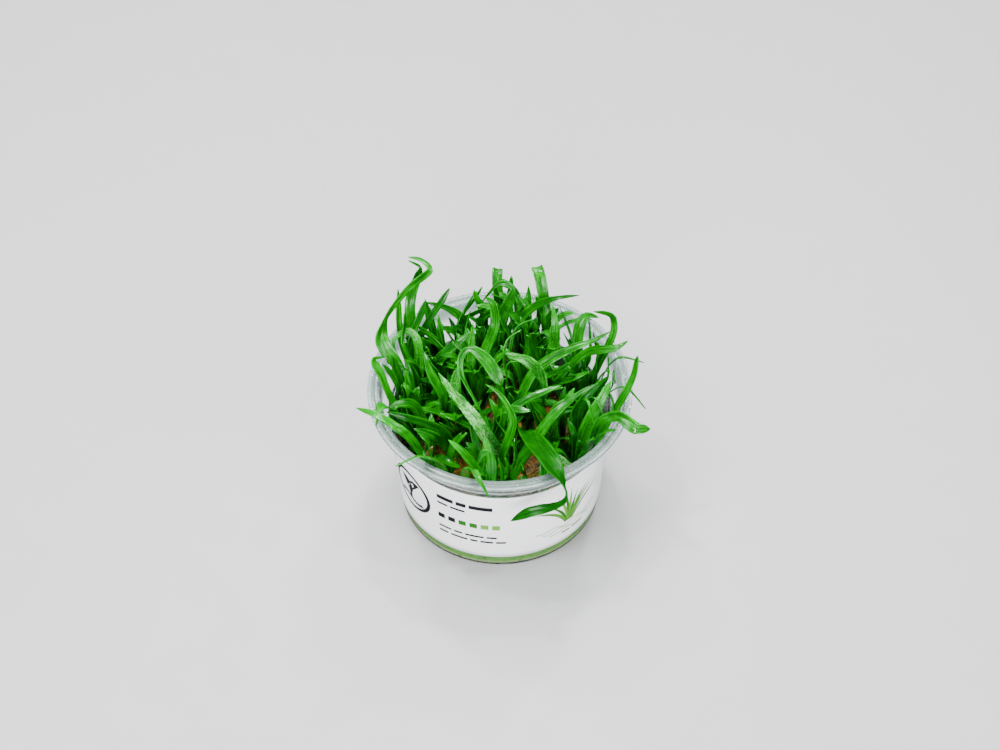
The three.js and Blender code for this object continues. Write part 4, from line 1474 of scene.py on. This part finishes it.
@dataclass
class Label:
    """The paper label, its ends lapped at the back, and a generic print on it."""

    paper: Material
    inks: tuple[Material, ...]
    cup: Cup
    gap: float = 0.1
    thickness: float = 0.25
    film: float = 0.03
    overlap: float = math.radians(5)
    overlap_rise: float = 1.1
    columns: int = 200
    rows: int = 16
    trim: float = 1.0
    bottom: float = field(init=False)
    tall: float = field(init=False)

    def __post_init__(self) -> None:
        """Reads how high the label's solid stands."""
        low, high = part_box("label")
        self.bottom = low.z / MM + self.trim
        self.tall = high.z / MM - self.bottom

    def badge(self) -> list[Stroke]:
        """A round badge with two leaves that grow from a wave.

        Returns:
            Its strokes.
        """
        strokes = []
        sides, lap, radius, x, y = 30, 0.06, 10.4, -40.0, 22.5
        for side in range(sides):
            turns = [math.tau * (side + step) / sides for step in (-lap, 1 + lap)]
            ends = [(x + radius * math.cos(turn), y + radius * math.sin(turn)) for turn in turns]
            strokes.append(Stroke(*ends, 1.7, Ink.DARK))
        strokes += [
            Stroke((x, y - 5.0), (x + 0.3, y + 3.0), 1.5, Ink.DARK, 0.05),
            Stroke((x + 0.1, y - 1.5), (x - 6.2, y + 5.8), 4.4, Ink.DARK, -0.2, True),
            Stroke((x + 0.3, y + 0.5), (x + 6.0, y + 6.6), 4.0, Ink.DARK, 0.2, True),
            Stroke((x - 6.8, y - 5.4), (x, y - 5.4), 1.6, Ink.DARK, 0.16),
            Stroke((x, y - 5.4), (x + 6.8, y - 5.4), 1.6, Ink.DARK, -0.16),
        ]
        return strokes

    def blocks(self) -> list[Stroke]:
        """Rows of plain dashes, and a row of squares between them.

        Returns:
            Their strokes.
        """
        left, right, space = -25.0, 26.0, 1.1
        square, square_step, square_height = 3.0, 4.4, 20.6
        rows = [
            (33.0, 2.4, left, (7.0, 4.0, 9.0)),
            (29.0, 1.3, left, (4.5, 6.0)),
            (13.4, 1.2, left, (5.5, 3.5, 7.5, 4.0)),
            (10.2, 1.2, left, (4.0, 7.0, 3.0, 5.0, 4.0)),
            (6.0, 0.8, right, (4.0, 6.0)),
        ]
        strokes = []
        for height, width, start, lengths in rows:
            for length in lengths:
                strokes.append(Stroke((start, height), (start + length, height), width, Ink.DARK))
                start += length + space
        for index in range(2 * len(Ink)):
            start, ink = left + square_step * index, Ink(index // 2)
            strokes.append(Stroke((start, square_height), (start + square, square_height), square, ink))
        return strokes

    def reeds(self) -> list[Stroke]:
        """A tuft of reeds that leans over lines of water.

        Returns:
            Their strokes.
        """
        strokes = []
        middle, foot, foot_spread, tip_spread, tallest, fall, sway = 29.0, 13.0, 1.8, 17.0, 22.0, 9.0, 2.2
        for index in range(11):
            lean = -1 + index / 5
            start, end = middle + foot_spread * lean, middle + tip_spread * lean
            height = tallest - fall * abs(lean) + sway * math.sin(5 * index)
            ink = Ink.GREEN if index % 2 == 0 else Ink.PALE
            strokes.append(Stroke((start, foot), (end, foot + height), 1.3, ink, 0.15 * lean, True))
        left, inset, surface, row_drop, wave_length, wave_bow = 14.0, 3.0, 11.6, 1.9, 5.2, 0.13
        for row in range(3):
            for wave in range(6 - row):
                x, level = left + inset * row + wave_length * wave, surface - row_drop * row
                strokes.append(Stroke((x, level), (x + wave_length, level), 0.45, Ink.PALE,
                                      wave_bow if wave % 2 else -wave_bow))
        return strokes

    def wrapped(self, along: float, height: float, proud: float) -> Vector:
        """A place on the label.

        Args:
            along: Millimetres round the wall from the middle of the front.
            height: Millimetres above the label's lower edge.
            proud: Millimetres off the wall.

        Returns:
            The place in metres.
        """
        level = self.bottom + height
        turn = along / self.cup.wall_radius(self.bottom)
        radius = self.cup.wall_radius(level) + proud
        return Vector((radius * math.sin(turn), -radius * math.cos(turn), level)) * MM

    def build(self) -> None:
        """Makes the strip and its print."""
        half_way = math.pi * self.cup.wall_radius(self.bottom)
        lap = self.overlap * self.cup.wall_radius(self.bottom)
        work = bmesh.new()
        verts = bmesh.ops.create_grid(work, x_segments=self.columns, y_segments=self.rows, size=0.5)["verts"]
        for vert in verts:
            along = vert.co.x * (2 * half_way + lap)
            rise = min(1.0, max(0.0, (along - half_way + lap) / lap))
            proud = self.gap + self.thickness * (0.5 + self.overlap_rise * rise)
            vert.co = self.wrapped(along, (vert.co.y + 0.5) * self.tall, proud)
        piece = place(work, "label_paper", self.paper, Slot.LABEL)
        thicken(piece, self.thickness * MM)
        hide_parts("label")
        self.print_on()

    def print_on(self) -> None:
        """Makes the print as a thin film of ink on the strip."""
        work = bmesh.new()
        proud = self.gap + self.thickness + self.film
        for stroke in self.badge() + self.blocks() + self.reeds():
            ends: list[BMVert] = []
            for middle, arm in stroke.stations():
                if ends:
                    edge = work.edges.get(ends) or work.edges.new(ends)
                    made = bmesh.ops.extrude_edge_only(work, edges=[edge])["geom"]
                    left = ends[0].co.copy()
                    ends = sorted((item for item in made if isinstance(item, BMVert)),
                                  key=lambda vert: (vert.co - left).length)
                else:
                    ends = [work.verts.new(), work.verts.new()]
                for vert, spot in zip(ends, (middle - arm, middle + arm)):
                    vert.co = self.wrapped(spot.x, spot.y, proud)
                for face in set(ends[0].link_faces):
                    face.material_index = stroke.ink.value
        bmesh.ops.recalc_face_normals(work, faces=work.faces)
        piece = place(work, "label_print", self.inks[0], Slot.LABEL)
        for ink in self.inks[1:]:
            piece.data.materials.append(ink)


@dataclass
class Studio:
    """The camera at the photograph's view, soft lights and a pale floor."""

    camera_place: Vector = field(default_factory=lambda: Vector((0.0, -0.5238, 0.6554)))
    aim: Vector = field(default_factory=lambda: Vector((0.0, 0.0, 0.0694)))
    lens: float = 72.0
    sensor: float = 36.0
    nearest: float = 10 * MM
    floor_size: float = 6.0
    sky: Colour = (0.86, 0.90, 1.0)
    sky_strength: float = 0.16

    def build(self) -> None:
        """Sets the stage."""
        self.camera()
        self.floor()
        self.lamp("top", (-0.10, 0.25, 1.15), 0.90, 22.0)
        self.lamp("key", (-0.55, -0.35, 0.95), 0.35, 13.0)
        self.lamp("fill", (0.75, -0.65, 0.55), 0.60, 8.0)
        self.lamp("front", (-0.15, -1.00, 0.35), 0.60, 15.0)
        self.lamp("back_right", (0.30, 0.70, 0.85), 0.16, 7.0)
        self.lamp("back_left", (-0.35, 0.62, 0.90), 0.16, 6.0)
        self.lamp("sparkle_back", (0.05, 0.35, 1.10), 0.06, 5.0)
        self.lamp("sparkle_left", (-0.35, 0.05, 1.05), 0.05, 4.5)
        self.lamp("sparkle_right", (0.45, -0.20, 1.00), 0.05, 4.5)
        world = bpy.data.worlds.new("studio")
        world.use_nodes = True
        background = world.node_tree.nodes["Background"]
        background.inputs["Color"].default_value = (*self.sky, 1.0)
        background.inputs["Strength"].default_value = self.sky_strength
        bpy.context.scene.world = world

    def camera(self) -> None:
        """Makes the camera and points it."""
        data = bpy.data.cameras.new("view")
        data.lens = self.lens
        data.sensor_width = self.sensor
        data.clip_start = self.nearest
        camera = added("view", data)
        self.point(camera, self.camera_place)
        bpy.context.scene.camera = camera

    def point(self, item: Object, spot: Vector) -> None:
        """Puts a camera or a light in its place, looking at the plant."""
        item.location = spot
        item.rotation_euler = (self.aim - spot).to_track_quat("-Z", "Y").to_euler()

    def floor(self) -> None:
        """Makes the floor that the cup stands on."""
        work = bmesh.new()
        bmesh.ops.create_grid(work, x_segments=1, y_segments=1, size=self.floor_size / 2)
        floor = meshed(work, "floor", FloorFinish().make())
        floor.visible_glossy = False

    def lamp(self, name: str, spot: Triple, size: float, power: float) -> None:
        """Makes one soft light that looks at the plant.

        Args:
            name: Its name.
            spot: Where it hangs.
            size: Its width in metres.
            power: Its power in watts.
        """
        data = bpy.data.lights.new(name, "AREA")
        data.shape = "DISK"
        data.size = size
        data.energy = power
        self.point(added(name, data), Vector(spot))


def main() -> None:
    """Builds the whole object and its studio."""
    logging.basicConfig(level=logging.INFO, format="%(name)s: %(message)s")
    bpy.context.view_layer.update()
    Studio().build()
    lathe = Lathe()
    cup = Cup(ClearPlasticFinish().make(), lathe)
    cup.build()
    inks = (
        InkFinish("ink_dark", (0.004, 0.005, 0.008)).make(),
        InkFinish("ink_green", (0.010, 0.130, 0.002)).make(),
        InkFinish("ink_pale", (0.110, 0.330, 0.030)).make(),
    )
    Label(PaperFinish().make(), inks, cup).build()
    Gel(GelFinish().make(), lathe).build()
    matted = RootFinish("matted_roots", (0.100, 0.036, 0.004), (0.420, 0.190, 0.022)).make()
    loose = RootFinish("loose_roots", (0.340, 0.140, 0.014), (0.820, 0.480, 0.080)).make()
    RootMat(matted, loose).build()
    Thicket(LeafFinish().make(), WitheredFinish().make(), cup).build()


if __name__ == "__main__":
    main()
